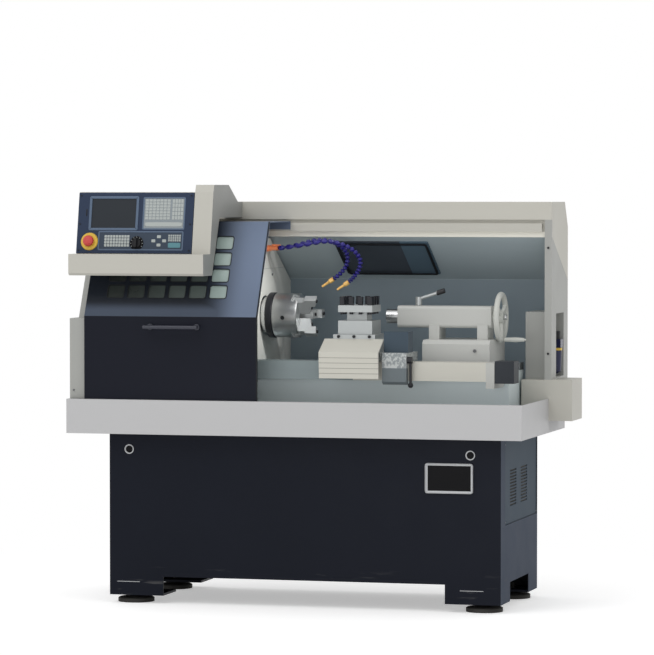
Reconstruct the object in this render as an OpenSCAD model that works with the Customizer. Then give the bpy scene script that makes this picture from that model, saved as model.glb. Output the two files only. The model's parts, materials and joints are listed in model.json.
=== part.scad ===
// Flat-bed CNC turning lathe with an open front, a sliding door and a fixed control console.
// Millimetres, +Z up, operator at -Y, origin on the floor under the middle of the machine.

/* [Overall] */
// Length from the left end of the tray to the right end of the guard base
overall_l = 1740; // [1720:5:1900]
// Depth from the front of the console ledge to the back of the tray
overall_w = 776; // [766:2:860]
// Thickness of the folded sheet metal
sheet = 3; // [2:0.5:4]
// Clearance between pieces that slide past each other
slide_gap = 0.5; // [0.3:0.1:1]

/* [Base cabinet] */
// Length of the cabinet
cabinet_l = 1428; // [1400:4:1480]
// Depth of the cabinet
cabinet_w = 608; // [580:4:640]
// Overhang of the tray past the cabinet's left side
cabinet_inset_x = 142; // [130:2:150]
// Overhang of the tray past the cabinet's front
cabinet_inset_y = 60; // [50:2:70]
// Height of the cabinet's top, which carries the tray
cabinet_top = 607; // [590:1:640]
// Length of a leg along the front
leg_l = 200; // [170:5:220]
// Depth of a leg along the side
leg_w = 150; // [120:5:170]
// Height of the gap between the legs
leg_h = 68; // [50:2:80]
// Length of the vented panel on the right side
vent_panel_w = 530; // [500:5:540]
// Height of the vented panel on the right side
vent_panel_h = 290; // [260:5:300]
// Number of slots in one vent
vent_count = 12; // [8:1:14]
// Diameter of a levelling pad
pad_d = 130; // [110:2:150]
// Thickness of a levelling pad
pad_h = 22; // [18:1:24]
// Height of the legs' underside above the floor
leg_z = 29; // [27:1:34]
// Diameter of a levelling stud
stud_d = 20; // [16:1:24]

/* [Tray and bed] */
// Length of the chip tray
tray_l = 1655; // [1640:5:1670]
// Height of the tray's wall
tray_h = 122; // [110:2:130]
// Distance of the bed's front way behind the tray's front
bed_y = 270; // [262:2:280]
// Width over the bed's two ways
bed_w = 260; // [250:2:280]
// Height of the ways
way_z = 855; // [850:1:865]
// Width of one way
way_w = 62; // [54:2:70]
// Height of the hardened rail on top of the bed
way_h = 26; // [20:1:30]
// Length of the bed past the headstock
bed_l = 930; // [900:5:950]

/* [Headstock and chuck] */
// Height of the spindle's axis
spindle_z = 1020; // [1015:1:1030]
// Distance of the spindle's axis behind the tray's front
spindle_y = 400; // [392:2:410]
// Distance of the headstock's left face from the tray's left end
headstock_x = 240; // [236:2:260]
// Length of the headstock
headstock_l = 378; // [370:2:384]
// Width of the headstock
headstock_w = 300; // [270:4:320]
// Height of the headstock above the spindle's axis
headstock_rise = 130; // [120:2:140]
// Diameter of the spindle
spindle_d = 90; // [80:2:96]
// Diameter of the through bore of the spindle
spindle_bore = 52; // [38:1:56]
// Diameter of the spindle's nose flange
nose_d = 130; // [120:2:136]
// Outer diameter of a spindle bearing
bearing_d = 140; // [130:2:150]
// Width of a spindle bearing
bearing_w = 40; // [30:2:46]
// Diameter of the chuck
chuck_d = 160; // [150:2:170]
// Length of the chuck's body
chuck_l = 92; // [84:2:100]
// Thickness of the black back plate behind the chuck
back_plate_t = 26; // [22:1:30]
// Width of a chuck jaw
jaw_w = 30; // [26:1:34]
// Length that a jaw's outer step stands out of the chuck's face
jaw_out = 66; // [58:1:70]
// Length that a jaw's inner step stands out of the chuck's face
jaw_low = 46; // [40:1:52]
// Pitch diameter of the spindle's pulley
spindle_pulley_d = 180; // [160:2:190]
// Pitch diameter of the motor's pulley
motor_pulley_d = 100; // [90:2:110]
// Number of drive belts
belt_count = 3; // [2:1:4]
// Pitch of the belts
belt_pitch = 16; // [15:0.5:17]
// Height of the motor's shaft
motor_z = 330; // [310:5:340]
// Diameter of the main motor
motor_d = 220; // [200:4:240]
// Length of the main motor
motor_l = 300; // [260:5:330]

/* [Door] */
// Length of the sliding door
door_l = 641; // [620:1:645]
// Distance of the door's left end from the tray's left end
door_x = 61; // [58:1:64]
// Distance of the door's front behind the tray's front
door_y = 20; // [14:1:24]
// Height of the fold between the door's front and its slope
door_fold_z = 1023; // [1010:1:1030]
// Height of the door's top
door_top_z = 1359; // [1356:1:1361]
// Distance that the slope leans back
door_lean = 164; // [156:1:170]
// Number of window columns in the slope
pane_columns = 6; // [4:1:6]
// Number of window rows in the slope
pane_rows = 4; // [3:1:4]
// Width of one window pane
pane_w = 62; // [50:1:66]
// Height of one window pane along the slope
pane_h = 50; // [40:1:54]
// Length of the door's handle
handle_l = 200; // [160:5:240]
// Diameter of the handle's bar
handle_d = 14; // [10:1:16]
// Room for the fingers behind the handle
handle_room = 32; // [30:1:40]

/* [Rear guard] */
// Height of the guard's top
guard_top_z = 1429; // [1420:1:1440]
// Distance of the hood's front behind the tray's front
hood_y = 456; // [450:1:460]
// Height of the hood's lower lip
hood_lip_z = 1304; // [1296:1:1310]
// Height of the step between the hood's fascia and its lower band
hood_step_z = 1366; // [1364:1:1370]
// Set-back of the lower band
hood_step = 12; // [10:1:16]
// Height where the lean-to liner meets the back wall
liner_z = 1145; // [1130:1:1160]
// Length of the window in the liner
window_l = 350; // [320:5:380]
// Thickness of the window
window_t = 5; // [4:0.5:6]
// Thickness of the right-hand pillar
pillar_t = 25; // [22:1:30]
// Length of the niche box inside the right-hand pillar
niche_box_l = 105; // [95:1:110]
// Height of the niche box
niche_box_h = 240; // [220:2:260]
// Width of the niche in the pillar's outer face
niche_w = 135; // [120:1:140]
// Depth of the niche
niche_deep = 66; // [60:1:70]
// Height of the guard's base box on the right
base_box_h = 146; // [140:1:150]
// Depth of the guard's base box on the right
base_box_w = 180; // [160:2:200]

/* [Console] */
// Length of the console
console_l = 500; // [480:2:505]
// Distance of the console's left end from the tray's left end
console_x = 19; // [10:1:24]
// Overhang of the console's ledge past the tray's front
console_over = 30; // [24:1:36]
// Height of the console's underside
console_z = 1169; // [1160:1:1180]
// Height of the console's ledge
ledge_h = 76; // [66:1:84]
// Depth of the ledge in front of the panel
ledge_w = 84; // [74:1:90]
// Height of the console's top
console_top_z = 1464; // [1456:1:1470]
// Distance that the panel leans back
panel_lean = 42; // [36:1:48]
// Length of the control panel
panel_l = 430; // [424:1:436]
// Thickness of the control panel
panel_t = 6; // [5:0.5:8]
// Height of the arm that ties the console to the guard
arm_top_z = 1490; // [1484:1:1500]
// Diameter of the emergency-stop button
stop_d = 40; // [36:1:44]
// Travel of the emergency-stop button
stop_travel = 5; // [4:0.5:6]
// Diameter of the mode knob
knob_d = 32; // [28:1:36]

/* [Carriage and tool post] */
// Distance of the carriage's middle from the tray's left end
carriage_x = 1021; // [1016:1:1025]
// Length of the saddle
saddle_l = 230; // [220:2:236]
// Thickness of the saddle
saddle_t = 46; // [40:1:50]
// Length of the cross slide
cross_l = 170; // [160:2:180]
// Height of the cross slide
cross_h = 46; // [40:1:48]
// Side of the square tool post
post_side = 124; // [116:1:126]
// Distance of the tool post's middle behind the tray's front
post_y = 220; // [216:1:224]
// Height of the tool post's block
post_h = 102; // [96:1:106]
// Height of the tool slots
slot_h = 30; // [26:1:32]
// Depth of the tool slots
slot_deep = 26; // [22:1:28]
// Diameter of the tool clamping screws
clamp_screw_d = 14; // [10:1:16]
// Length of the telescopic apron cover
apron_l = 215; // [205:1:225]
// Number of leaves in the apron cover
leaf_count = 5; // [3:1:6]
// Distance of the apron cover's face behind the tray's front
apron_y = 62; // [58:1:66]
// Diameter of the feed screw
screw_d = 25; // [20:1:28]
// Height of the feed screw's axis
screw_z = 836; // [832:1:840]
// Distance of the feed screw's axis behind the tray's front
screw_y = 170; // [166:1:174]
// Height of the feed screw's guard
guard_h = 66; // [60:1:70]
// Depth of the feed screw's guard
guard_w = 84; // [80:1:88]

/* [Tailstock] */
// Distance of the tailstock's nose from the tray's left end
tail_x = 1124; // [1122:1:1130]
// Length of the tailstock's barrel housing
tail_l = 342; // [334:2:350]
// Diameter over the barrel housing
tail_d = 78; // [74:1:84]
// Diameter of the quill
quill_d = 50; // [44:1:54]
// Length that the quill stands out at rest
quill_out = 46; // [40:1:48]
// Length of the tailstock's base
tail_base_l = 244; // [236:2:248]
// Diameter of the handwheel
wheel_d = 180; // [170:2:186]
// Diameter of the handwheel's rim
rim_d = 20; // [16:1:22]
// Length of the crank handle
crank_l = 84; // [76:1:88]
// Length of the quill lever
lever_l = 96; // [86:1:104]
// Diameter of the lever bars
lever_d = 12; // [10:1:14]

/* [Coolant and air] */
// Outer diameter of a coolant hose link
hose_d = 17; // [15:0.5:19]
// Number of links in a hose
hose_links = 22; // [16:1:26]
// Diameter of the air filter's bowl
bowl_d = 46; // [40:1:50]

/* [Hidden] */
$fn = 64;

// Radial clearance of turning shafts, gap under plates on slanted faces, and the overshoot of cutting tools
run_gap = 0.05;
seat_gap = 0.05;
cut = 1;

// Heights and depths that several pieces share
tray_w = overall_w - console_over;
tray_floor = cabinet_top + sheet;
tray_top = cabinet_top + tray_h;
cabinet_x1 = cabinet_inset_x + cabinet_l;
cabinet_y1 = cabinet_inset_y + cabinet_w;
headstock_x1 = headstock_x + headstock_l;
bed_x1 = headstock_x1 + bed_l;
bed_y1 = bed_y + bed_w;
rail_z = way_z - way_h;
bed_wall_y = bed_y + 16;
bed_wall_y1 = bed_y1 - 16;

// Foot plates and studs under the legs
foot_plate_t = 8;
foot_inset = 75;
stud_top = leg_z + foot_plate_t + 18;
foot_xs = [cabinet_inset_x + foot_inset, cabinet_x1 - foot_inset];
foot_ys = [cabinet_inset_y + foot_inset, cabinet_y1 - foot_inset];

// Recessed side panel with its slots
vent_rim = 24;
vent_y = cabinet_y1 - vent_panel_w - 8;
vent_z = cabinet_top - vent_panel_h - 14;
vent_columns = [142, 322];
vent_slot_w = 106;
vent_slot_h = 6;
vent_slot_z = 60;
vent_pitch = 11;
frame_lap = 12;

// Drive line inside the cabinet and behind the headstock
pulley_x = headstock_x - 76;
pulley_w = belt_count * belt_pitch + 12;
belt_t = 9;
belt_w = 12;
motor_x = pulley_x + pulley_w + 16;
shelf_t = 10;
motor_foot_h = 24;
motor_foot_x = 30;
shelf_z = motor_z - motor_d / 2 - motor_foot_h;
slot_room = 14;

// Spindle, chuck and jaws along the spindle's axis
nose_x = headstock_x1 + 4;
nose_t = 18;
back_plate_x = nose_x + nose_t;
chuck_x = back_plate_x + back_plate_t;
chuck_x1 = chuck_x + chuck_l;
jaw_rest = 18;
jaw_slot_deep = 24;
jaw_end_gap = 4;
jaw_guide = 6;
jaw_guide_t = 12;

// Partition between the headstock and the work area
partition_x = headstock_x1;
partition_seam_z = 1187;
partition_hole = nose_d + 12;

// Rear guard, and the belt guard that ends under its liner
guard_r = tray_l + 10;
guard_back = tray_w;
left_cover_y = 40;
left_cover_y1 = guard_back - 140;
left_cover_z1 = spindle_z + spindle_pulley_d / 2 + 105;
left_cover_x1 = headstock_x - 8;
band_y = hood_y + hood_step;
hood_back_y = guard_back - 55;
hood_back_z = guard_top_z - 90;
liner_rise = hood_lip_z - liner_z;
liner_run = guard_back - band_y;
liner_angle = atan(liner_rise / liner_run);
window_x = 852;
window_h = 240;
window_s = 46;
window_lap = 12;
base_box_x = bed_x1 + 8;
base_box_top = tray_top + 67;
base_box_z = base_box_top - base_box_h;
niche_box_y = hood_y + 52;
niche_y = niche_box_y + 30;
niche_z = base_box_top + 6;

// Door section: front, slope and roof
door_z = tray_top + slide_gap;
door_angle = atan(door_lean / (door_top_z - door_fold_z));
door_back_y = hood_y - 3;
door_flange_h = 30;
rail_h = 30;
pane_gap = 14;
pane_margin = 125;
pane_start = 98;
pane_t = 3;
pane_lap = 12;
pane_r = 8;
pane_pitch_x = pane_w + pane_gap;
pane_pitch_s = pane_h + pane_gap;
pane_x1 = door_x + door_l - pane_margin - pane_w / 2;
handle_z = door_fold_z - 35;
handle_offset = 232;
handle_x = door_x + handle_offset;

// Console section
panel_y = ledge_w - console_over;
ledge_top = console_z + ledge_h;
panel_angle = atan(panel_lean / (console_top_z - ledge_top));
panel_len = (console_top_z - ledge_top) / cos(panel_angle) - 4;
console_gap = 14;
arm_x = console_x + panel_l + 2;
stop_at = [48, 42];
knob_at = [225, 36];
screen_at = [48, 88];
screen_size = [172, 112];
keypad_at = [245, 88];
keypad_size = [152, 112];
strip_at = [83, 13];
strip_size = [312, 64];
inlay_deep = 2;
stem_d = 12;

// Carriage
saddle_z1 = way_z + saddle_t;
cross_z1 = saddle_z1 + slide_gap + cross_h;
cross_y = 145;
cross_w = 335;
guard_z1 = screw_z + guard_h / 2;
guard_y = screw_y - guard_w / 2;
saddle_y = guard_y - slide_gap * 6;
screw_x = partition_x + sheet + 16;
screw_x1 = 1500;
screw_end = 40;
feed_block_l = 30;
feed_motor_l = 70;
post_base_t = 15;
post_z = cross_z1 + post_base_t + slide_gap;
pivot_d = 30;
apron_kink = 903;
apron_z = 811;
wing_x1 = carriage_x + saddle_l / 2 + 86;
apron_t = 28;

// Tailstock
tail_base_x = tail_x + 112;
tail_base_top = 941;
quill_len = 270;
wheel_room = 28;
wheel_x = tail_x + tail_l + wheel_room;
grip_r = wheel_d / 2 - rim_d / 2;
lever_x = tail_x + 69;
lever_hub_h = 30;

// Coolant
tap_x = partition_x + sheet;
tap_z = 1261;
tap_ys = [415, 443];

// Position from the tray's left end and from the tray's front
function px(v) = v - overall_l / 2;
function py(v) = v - overall_w / 2 + console_over;

// A block between two corners given from the tray's left end and front
module block(x, y, z) {
    translate([px(x[0]), py(y[0]), z[0]])
        cube([x[1] - x[0], y[1] - y[0], z[1] - z[0]]);
}

// A section drawn as depth and height, drawn out along the machine
module along_x(xa, xb) {
    translate([px(xa), py(0), 0])
        rotate([90, 0, 90])
            linear_extrude(xb - xa)
                children();
}

// A round bar along the machine
module bar_x(xa, xb, d, y, z) {
    translate([px(xa), py(y), z])
        rotate([0, 90, 0])
            cylinder(d = d, h = xb - xa);
}

// A turned piece along the spindle's axis, its section drawn as radius and length
module turned_x(xa, y, z) {
    translate([px(xa), py(y), z])
        rotate([0, 90, 0])
            rotate_extrude()
                children();
}

module rounded(size, r) {
    translate([r, 0])
        square([size[0] - 2 * r, size[1]]);
    translate([0, r])
        square([size[0], size[1] - 2 * r]);
    for (x = [r, size[0] - r], y = [r, size[1] - r])
        translate([x, y])
            circle(r);
}

// Slot that lets the drive belts through the cabinet's top and the tray's floor
module belt_slot() {
    half = spindle_pulley_d / 2 + slot_room;
    block([pulley_x - slot_room, pulley_x + pulley_w + slot_room],
        [spindle_y - half, spindle_y + half], [cabinet_top - sheet - cut, tray_floor + cut]);
}

// Folded cabinet on four legs, with a motor shelf and foot plates inside
module cabinet() {
    x = [cabinet_inset_x, cabinet_x1];
    y = [cabinet_inset_y, cabinet_y1];
    color("#20232f")
    difference() {
        union() {
            difference() {
                block(x, y, [leg_z, cabinet_top]);
                block([x[0] + sheet, x[1] - sheet], [y[0] + sheet, y[1] - sheet],
                    [leg_z - cut, cabinet_top - sheet]);
                block([x[0] + leg_l, x[1] - leg_l], [y[0] - cut, y[1] + cut], [leg_z - cut, leg_z + leg_h]);
                block([x[0] - cut, x[1] + cut], [y[0] + leg_w, y[1] - leg_w], [leg_z - cut, leg_z + leg_h]);
            }
            block([x[1] - 3 * sheet, x[1] - sheet], [vent_y - frame_lap, y[1] - sheet],
                [vent_z - frame_lap, cabinet_top - sheet]);
            block([x[0] + sheet, motor_x + motor_l + shelf_t], [y[0] + sheet, y[1] - sheet],
                [shelf_z - shelf_t, shelf_z]);
            for (fx = [x[0] + sheet, x[1] - sheet - leg_l + sheet], fy = [y[0] + sheet, y[1] - leg_w])
                block([fx, fx + leg_l - sheet], [fy, fy + leg_w - sheet], [leg_z, leg_z + foot_plate_t]);
        }
        belt_slot();
        block([x[1] - 2 * sheet, x[1] + cut], [vent_y - slide_gap, vent_y + vent_panel_w + slide_gap],
            [vent_z - slide_gap, vent_z + vent_panel_h + slide_gap]);
        block([x[1] - 3 * sheet - cut, x[1]], [vent_y + vent_rim, vent_y + vent_panel_w - vent_rim],
            [vent_z + vent_rim, vent_z + vent_panel_h - vent_rim]);
        for (fx = foot_xs, fy = foot_ys)
            translate([px(fx), py(fy), leg_z - cut])
                cylinder(d = stud_d + 2 * run_gap, h = foot_plate_t + 2 * cut);
    }
}

// Screwed access panel with two columns of vent slots, let into the cabinet's side
module vent_panel() {
    x = [cabinet_x1 - 2 * sheet, cabinet_x1 - sheet];
    color("#4a5060")
    difference() {
        block(x, [vent_y, vent_y + vent_panel_w], [vent_z, vent_z + vent_panel_h]);
        for (k = [0 : vent_count - 1], column = vent_columns)
            block([x[0] - cut, x[1] + cut],
                [vent_y + column - vent_slot_w / 2, vent_y + column + vent_slot_w / 2],
                [vent_z + vent_slot_z + k * vent_pitch, vent_z + vent_slot_z + k * vent_pitch + vent_slot_h]);
    }
}

// Levelling pads with their studs and nuts
module levelling_feet() {
    nut_h = leg_z - pad_h;
    color("#3a3a3c")
    for (fx = foot_xs, fy = foot_ys)
        translate([px(fx), py(fy), 0])
            rotate_extrude()
                polygon([
                    [0, 0], [pad_d / 2, 0], [pad_d / 2, pad_h * 0.6], [pad_d / 2 - 6, pad_h * 0.75],
                    [stud_d, pad_h], [stud_d, pad_h + nut_h], [stud_d / 2, pad_h + nut_h],
                    [stud_d / 2, stud_top], [0, stud_top]
                ]);
}

// Welded chip tray with a folded lip that guides the door
module chip_tray() {
    lip = door_y + 2 * sheet + 4;
    color("#c2c2c0")
    difference() {
        union() {
            difference() {
                block([0, tray_l], [0, tray_w], [cabinet_top, tray_top]);
                block([sheet, tray_l - sheet], [sheet, tray_w - sheet], [tray_floor, tray_top + cut]);
            }
            block([sheet, tray_l - sheet], [sheet, lip], [tray_top - sheet, tray_top]);
        }
        belt_slot();
        block([base_box_x, overall_l + cut], [hood_y, hood_y + base_box_w], [base_box_z, tray_top + cut]);
    }
}

// Cast bed with two ground ways, a foot flange and pockets between its cross ribs
module bed() {
    pocket_count = 5;
    rib = 24;
    pocket_x = headstock_x1 + 2 * rib;
    pitch = (bed_x1 - rib - pocket_x) / pocket_count;
    flange = 26;
    color("#c9ccc9")
    difference() {
        union() {
            along_x(headstock_x, bed_x1)
                polygon([
                    [bed_wall_y - flange, tray_floor], [bed_wall_y1 + flange, tray_floor],
                    [bed_wall_y1 + flange, tray_floor + flange], [bed_wall_y1, tray_floor + 2 * flange],
                    [bed_wall_y1, rail_z - way_h], [bed_y1, rail_z - way_h / 2], [bed_y1, rail_z],
                    [bed_y, rail_z], [bed_y, rail_z - way_h / 2], [bed_wall_y, rail_z - way_h],
                    [bed_wall_y, tray_floor + 2 * flange], [bed_wall_y - flange, tray_floor + flange]
                ]);
            for (y = [bed_y, bed_y1 - way_w])
                block([headstock_x1 + rib, bed_x1], [y, y + way_w], [rail_z, way_z]);
        }
        for (k = [0 : pocket_count - 1])
            block([pocket_x + k * pitch, pocket_x + (k + 1) * pitch - rib],
                [bed_y + way_w + rib / 2, bed_y1 - way_w - rib / 2], [tray_floor + 2 * rib, way_z + cut]);
    }
}

// Headstock casting with bored bearing seats
module headstock() {
    y = [spindle_y - headstock_w / 2, spindle_y + headstock_w / 2];
    top = spindle_z + headstock_rise;
    chamfer = 50;
    color("#d5d3c6")
    difference() {
        along_x(headstock_x, headstock_x1)
            polygon([
                [y[0], rail_z], [y[0], top - chamfer], [y[0] + chamfer, top],
                [y[1] - chamfer, top], [y[1], top - chamfer], [y[1], rail_z]
            ]);
        bar_x(headstock_x - cut, headstock_x1 + cut, spindle_d + 16, spindle_y, spindle_z);
        bar_x(headstock_x - cut, headstock_x + bearing_w, bearing_d + 2 * run_gap, spindle_y, spindle_z);
        bar_x(headstock_x1 - bearing_w, headstock_x1 + cut, bearing_d + 2 * run_gap, spindle_y, spindle_z);
    }
}

// Front and rear spindle bearings
module spindle_bearings() {
    color("#9a9da0")
    for (x = [headstock_x, headstock_x1 - bearing_w])
        turned_x(x, spindle_y, spindle_z)
            translate([spindle_d / 2 + run_gap, 0])
                square([(bearing_d - spindle_d) / 2 - run_gap, bearing_w]);
}

// Sheet-metal partition in two panels, with a hole for the spindle's nose
module partition() {
    seam = 0.8;
    front = door_y + 26;
    color("#d8d6c8")
    difference() {
        along_x(partition_x, partition_x + sheet)
            polygon([
                [front, tray_floor], [front, door_fold_z - 16], [front + door_lean - 24, hood_lip_z - 8],
                [band_y, hood_lip_z - 8], [guard_back - sheet, liner_z - 8], [guard_back - sheet, tray_floor]
            ]);
        bar_x(partition_x - cut, partition_x + sheet + cut, partition_hole, spindle_y, spindle_z);
        block([partition_x - cut, partition_x + sheet + cut], [bed_y - 10, bed_y1 + 10], [tray_floor - cut, way_z + 1]);
        block([partition_x - cut, partition_x + sheet + cut], [0, tray_w],
            [partition_seam_z, partition_seam_z + seam]);
    }
}

// Belt guard at the left end, open towards the headstock and the tray
module left_cover() {
    y = [left_cover_y, left_cover_y1];
    z1 = left_cover_z1;
    front_z = door_fold_z - 8;
    slope = [y[0] + 100, y[0] + 200];
    module section(t) {
        polygon([
            [y[0] + t, tray_top - t], [y[0] + t, front_z - t], [slope[0] + t / 2, front_z - t],
            [slope[1] + t / 2, z1 - t], [y[1] - t, z1 - t], [y[1] - t, tray_top - t]
        ]);
    }
    color("#c6c4ba")
    difference() {
        along_x(0, left_cover_x1)
            section(0);
        along_x(sheet, left_cover_x1 + cut)
            section(sheet);
    }
}

// Foot-mounted main motor with cooling ribs
module main_motor() {
    ribs = 10;
    rib_t = 8;
    rib_h = 12;
    foot = [motor_x + motor_foot_x, motor_x + motor_l - 2 * motor_foot_x];
    pitch = (foot[1] - foot[0]) / ribs;
    color("#3c4658") {
        difference() {
            union() {
                bar_x(motor_x, motor_x + motor_l, motor_d - 2 * rib_h, spindle_y, motor_z);
                for (k = [0 : ribs - 1])
                    bar_x(foot[0] + k * pitch, foot[0] + k * pitch + rib_t, motor_d, spindle_y, motor_z);
                block(foot, [spindle_y - motor_d / 2, spindle_y + motor_d / 2], [shelf_z, shelf_z + motor_foot_h]);
                block(foot, [spindle_y - motor_d / 4, spindle_y + motor_d / 4], [shelf_z, motor_z]);
            }
            bar_x(motor_x - cut, motor_x + motor_l / 2, motor_shaft_d + 2 * run_gap, spindle_y, motor_z);
        }
    }
}

motor_shaft_d = 38;

// Outline of a belt round two pulleys, one above the other
module belt_outline(grow) {
    hull() {
        translate([0, spindle_z - motor_z])
            circle(d = spindle_pulley_d + 2 * grow, $fn = 48);
        circle(d = motor_pulley_d + 2 * grow, $fn = 48);
    }
}

// Drive belts between the motor's and the spindle's pulleys
module drive_belts() {
    color("#26262a")
    for (k = [0 : belt_count - 1])
        translate([0, py(spindle_y) - py(0), motor_z])
            along_x(belt_x(k) - belt_w / 2, belt_x(k) + belt_w / 2)
                difference() {
                    belt_outline(belt_t / 2);
                    belt_outline(-belt_t / 2);
                }
}

function belt_x(k) = pulley_x + pulley_w / 2 + (k - (belt_count - 1) / 2) * belt_pitch;

// A grooved pulley with its shaft, its grooves just clear of the belts
module pulley(d, y, z, bore) {
    difference() {
        turned_x(pulley_x, y, z)
            translate([bore / 2, 0])
                square([d / 2 + 3 - bore / 2, pulley_w]);
        for (k = [0 : belt_count - 1])
            turned_x(belt_x(k) - belt_w / 2 - 0.6, y, z)
                translate([d / 2 - belt_t / 2 - 0.4, 0])
                    square([belt_t + 4, belt_w + 1.2]);
    }
}

// Outer or inner line of the hollow hood, drawn as depth and height
module hood_section(t) {
    polygon([
        [band_y + t, hood_lip_z + 1.5 * t], [band_y + t, hood_step_z + t], [hood_y + t, hood_step_z + t],
        [hood_y + t, guard_top_z - t], [hood_back_y - t / 2, guard_top_z - t],
        [guard_back - t, hood_back_z - t / 2], [guard_back - t, liner_z + 2 * t]
    ]);
}

// Places a piece on the liner: first axis along the machine, second up the slope, third into the hood
module on_liner(x, s) {
    translate([px(x), py(guard_back - s * cos(liner_angle)), liner_z + s * sin(liner_angle)])
        rotate([180 - liner_angle, 0, 0])
            mirror([0, 0, 1])
                children();
}

// Hollow hood with its lean-to liner, and the back wall that stands on the tray
module rear_guard() {
    end_y = left_cover_y1 + 4;
    end_z = left_cover_z1 + 4;
    end_lap = 20;
    color("#c6c4ba")
    difference() {
        union() {
            difference() {
                along_x(0, guard_r)
                    hood_section(0);
                along_x(sheet, guard_r - sheet)
                    hood_section(sheet);
            }
            block([0, guard_r], [guard_back - sheet, guard_back], [tray_top, liner_z + cut]);
            along_x(0, sheet)
                polygon([
                    [band_y, end_z], [band_y, hood_lip_z + end_lap], [guard_back, liner_z + end_lap],
                    [guard_back, tray_top], [end_y, tray_top], [end_y, end_z]
                ]);
        }
        on_liner(window_x + window_lap, window_s + window_lap)
            translate([0, 0, -12])
                linear_extrude(30)
                    rounded([window_l - 2 * window_lap, window_h - 2 * window_lap], pane_r);
    }
}

// Tinted window plate under the liner
module liner_window() {
    color("#2b333b", 0.8)
        on_liner(window_x, window_s)
            translate([0, 0, -window_t - seat_gap])
                linear_extrude(window_t)
                    rounded([window_l, window_h], pane_r);
}

// Right-hand pillar under the hood, with a niche box and its outward niche
module right_pillar() {
    box_y1 = niche_box_y + niche_w + 60;
    color("#c2c0b4")
    difference() {
        union() {
            along_x(guard_r - pillar_t, guard_r)
                polygon([
                    [hood_y, base_box_top], [hood_y, hood_step_z], [band_y, hood_step_z],
                    [band_y, hood_lip_z], [guard_back - sheet, liner_z], [guard_back - sheet, tray_top],
                    [hood_y + base_box_w, tray_top], [hood_y + base_box_w, base_box_top]
                ]);
            block([guard_r - niche_box_l, guard_r - pillar_t], [niche_box_y, box_y1],
                [base_box_top, base_box_top + niche_box_h]);
        }
        block([guard_r - niche_deep, guard_r + cut], [niche_y, niche_y + niche_w],
            [niche_z, base_box_top + niche_box_h - 6]);
    }
}

// Folded base box that carries the pillar over the end of the tray
module base_box() {
    color("#c6c4ba")
    difference() {
        block([base_box_x, overall_l], [hood_y, hood_y + base_box_w], [base_box_z, base_box_top]);
        block([base_box_x + sheet, overall_l - sheet], [hood_y + sheet, hood_y + base_box_w - sheet],
            [base_box_z - cut, base_box_top - sheet]);
    }
}

// Upper guide rail of the door, a channel on the hood's lower band
module door_rail() {
    z = door_top_z - 2 * sheet - rail_h;
    front = door_back_y + slide_gap;
    color("#55585c")
        along_x(door_x - 20, guard_r - pillar_t - 10)
            polygon([
                [front, z], [front, z + rail_h], [front + 5, z + rail_h], [front + 5, z + 5],
                [band_y - 5, z + 5], [band_y - 5, z + rail_h], [band_y, z + rail_h], [band_y, z]
            ]);
}

// Console housing with its ledge, and the arm over the door's roof to the hood
module console_housing() {
    back = (panel_t + seat_gap) / cos(panel_angle);
    lean = (door_top_z - console_z) * tan(door_angle);
    low_y = door_y + (console_z - door_fold_z) * tan(door_angle) - console_gap;
    roof_z = door_top_z + console_gap;
    color("#c9c6b8")
    difference() {
        union() {
            along_x(console_x, console_x + console_l)
                polygon([
                    [-console_over, console_z + 8], [-console_over, ledge_top], [panel_y + back, ledge_top],
                    [panel_y + panel_lean + back, console_top_z], [low_y + lean + 60, console_top_z],
                    [low_y + lean + 60, roof_z], [low_y + lean, roof_z], [low_y, console_z],
                    [8 - console_over, console_z]
                ]);
            along_x(arm_x, console_x + console_l)
                polygon([
                    [panel_y, ledge_top], [panel_y + panel_lean, console_top_z],
                    [panel_y + panel_lean + 12, arm_top_z], [285, arm_top_z], [400, guard_top_z],
                    [hood_y, guard_top_z], [hood_y, roof_z], [low_y + lean, roof_z]
                ]);
        }
        on_panel(stop_at)
            cylinder(d = stem_d + 8, h = 60, center = true);
        on_panel(knob_at)
            cylinder(d = stem_d + 8, h = 60, center = true);
    }
}

// Places a piece on the panel's face: first axis along the machine, second up the panel, third outwards
module on_panel(at) {
    translate([px(console_x), py(panel_y), ledge_top])
        rotate([90 - panel_angle, 0, 0])
            translate([at[0], at[1] + 2, 0])
                children();
}

// Control panel plate with pockets for its inlays and bores for the controls
module control_panel() {
    color("#262f52")
    difference() {
        on_panel([0, 0])
            translate([0, 0, -panel_t])
                linear_extrude(panel_t)
                    square([panel_l, panel_len]);
        for (inlay = [[screen_at, screen_size], [keypad_at, keypad_size], [strip_at, strip_size]])
            on_panel(inlay[0])
                translate([0, 0, -inlay_deep])
                    linear_extrude(inlay_deep + cut)
                        square(inlay[1]);
        for (at = [stop_at, knob_at])
            on_panel(at)
                cylinder(d = stem_d + 2 * run_gap, h = 3 * panel_t, center = true);
    }
}

// Screen in the panel's upper left pocket
module screen() {
    color("#23262b")
        on_panel(screen_at)
            translate([0, 0, -inlay_deep])
                linear_extrude(inlay_deep - 0.5)
                    square(screen_size);
}

// Membrane keypads in the upper right and the lower pocket
module keypad() {
    color("#a9b0b4")
    difference() {
        for (inlay = [[keypad_at, keypad_size], [strip_at, strip_size]])
            on_panel(inlay[0])
                translate([0, 0, -inlay_deep])
                    linear_extrude(inlay_deep)
                        square(inlay[1]);
        on_panel(knob_at)
            cylinder(d = stem_d + 2, h = 3 * panel_t, center = true);
    }
}

stop_collar_d = 64;
stop_collar_t = 4;

// Yellow collar under the emergency-stop button
module stop_collar() {
    color("#e0b92c")
        on_panel(stop_at)
            rotate_extrude()
                polygon([
                    [stem_d / 2 + 1, 0], [stop_collar_d / 2, 0], [stop_collar_d / 2 - 2, stop_collar_t],
                    [stem_d / 2 + 1, stop_collar_t]
                ]);
}

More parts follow.
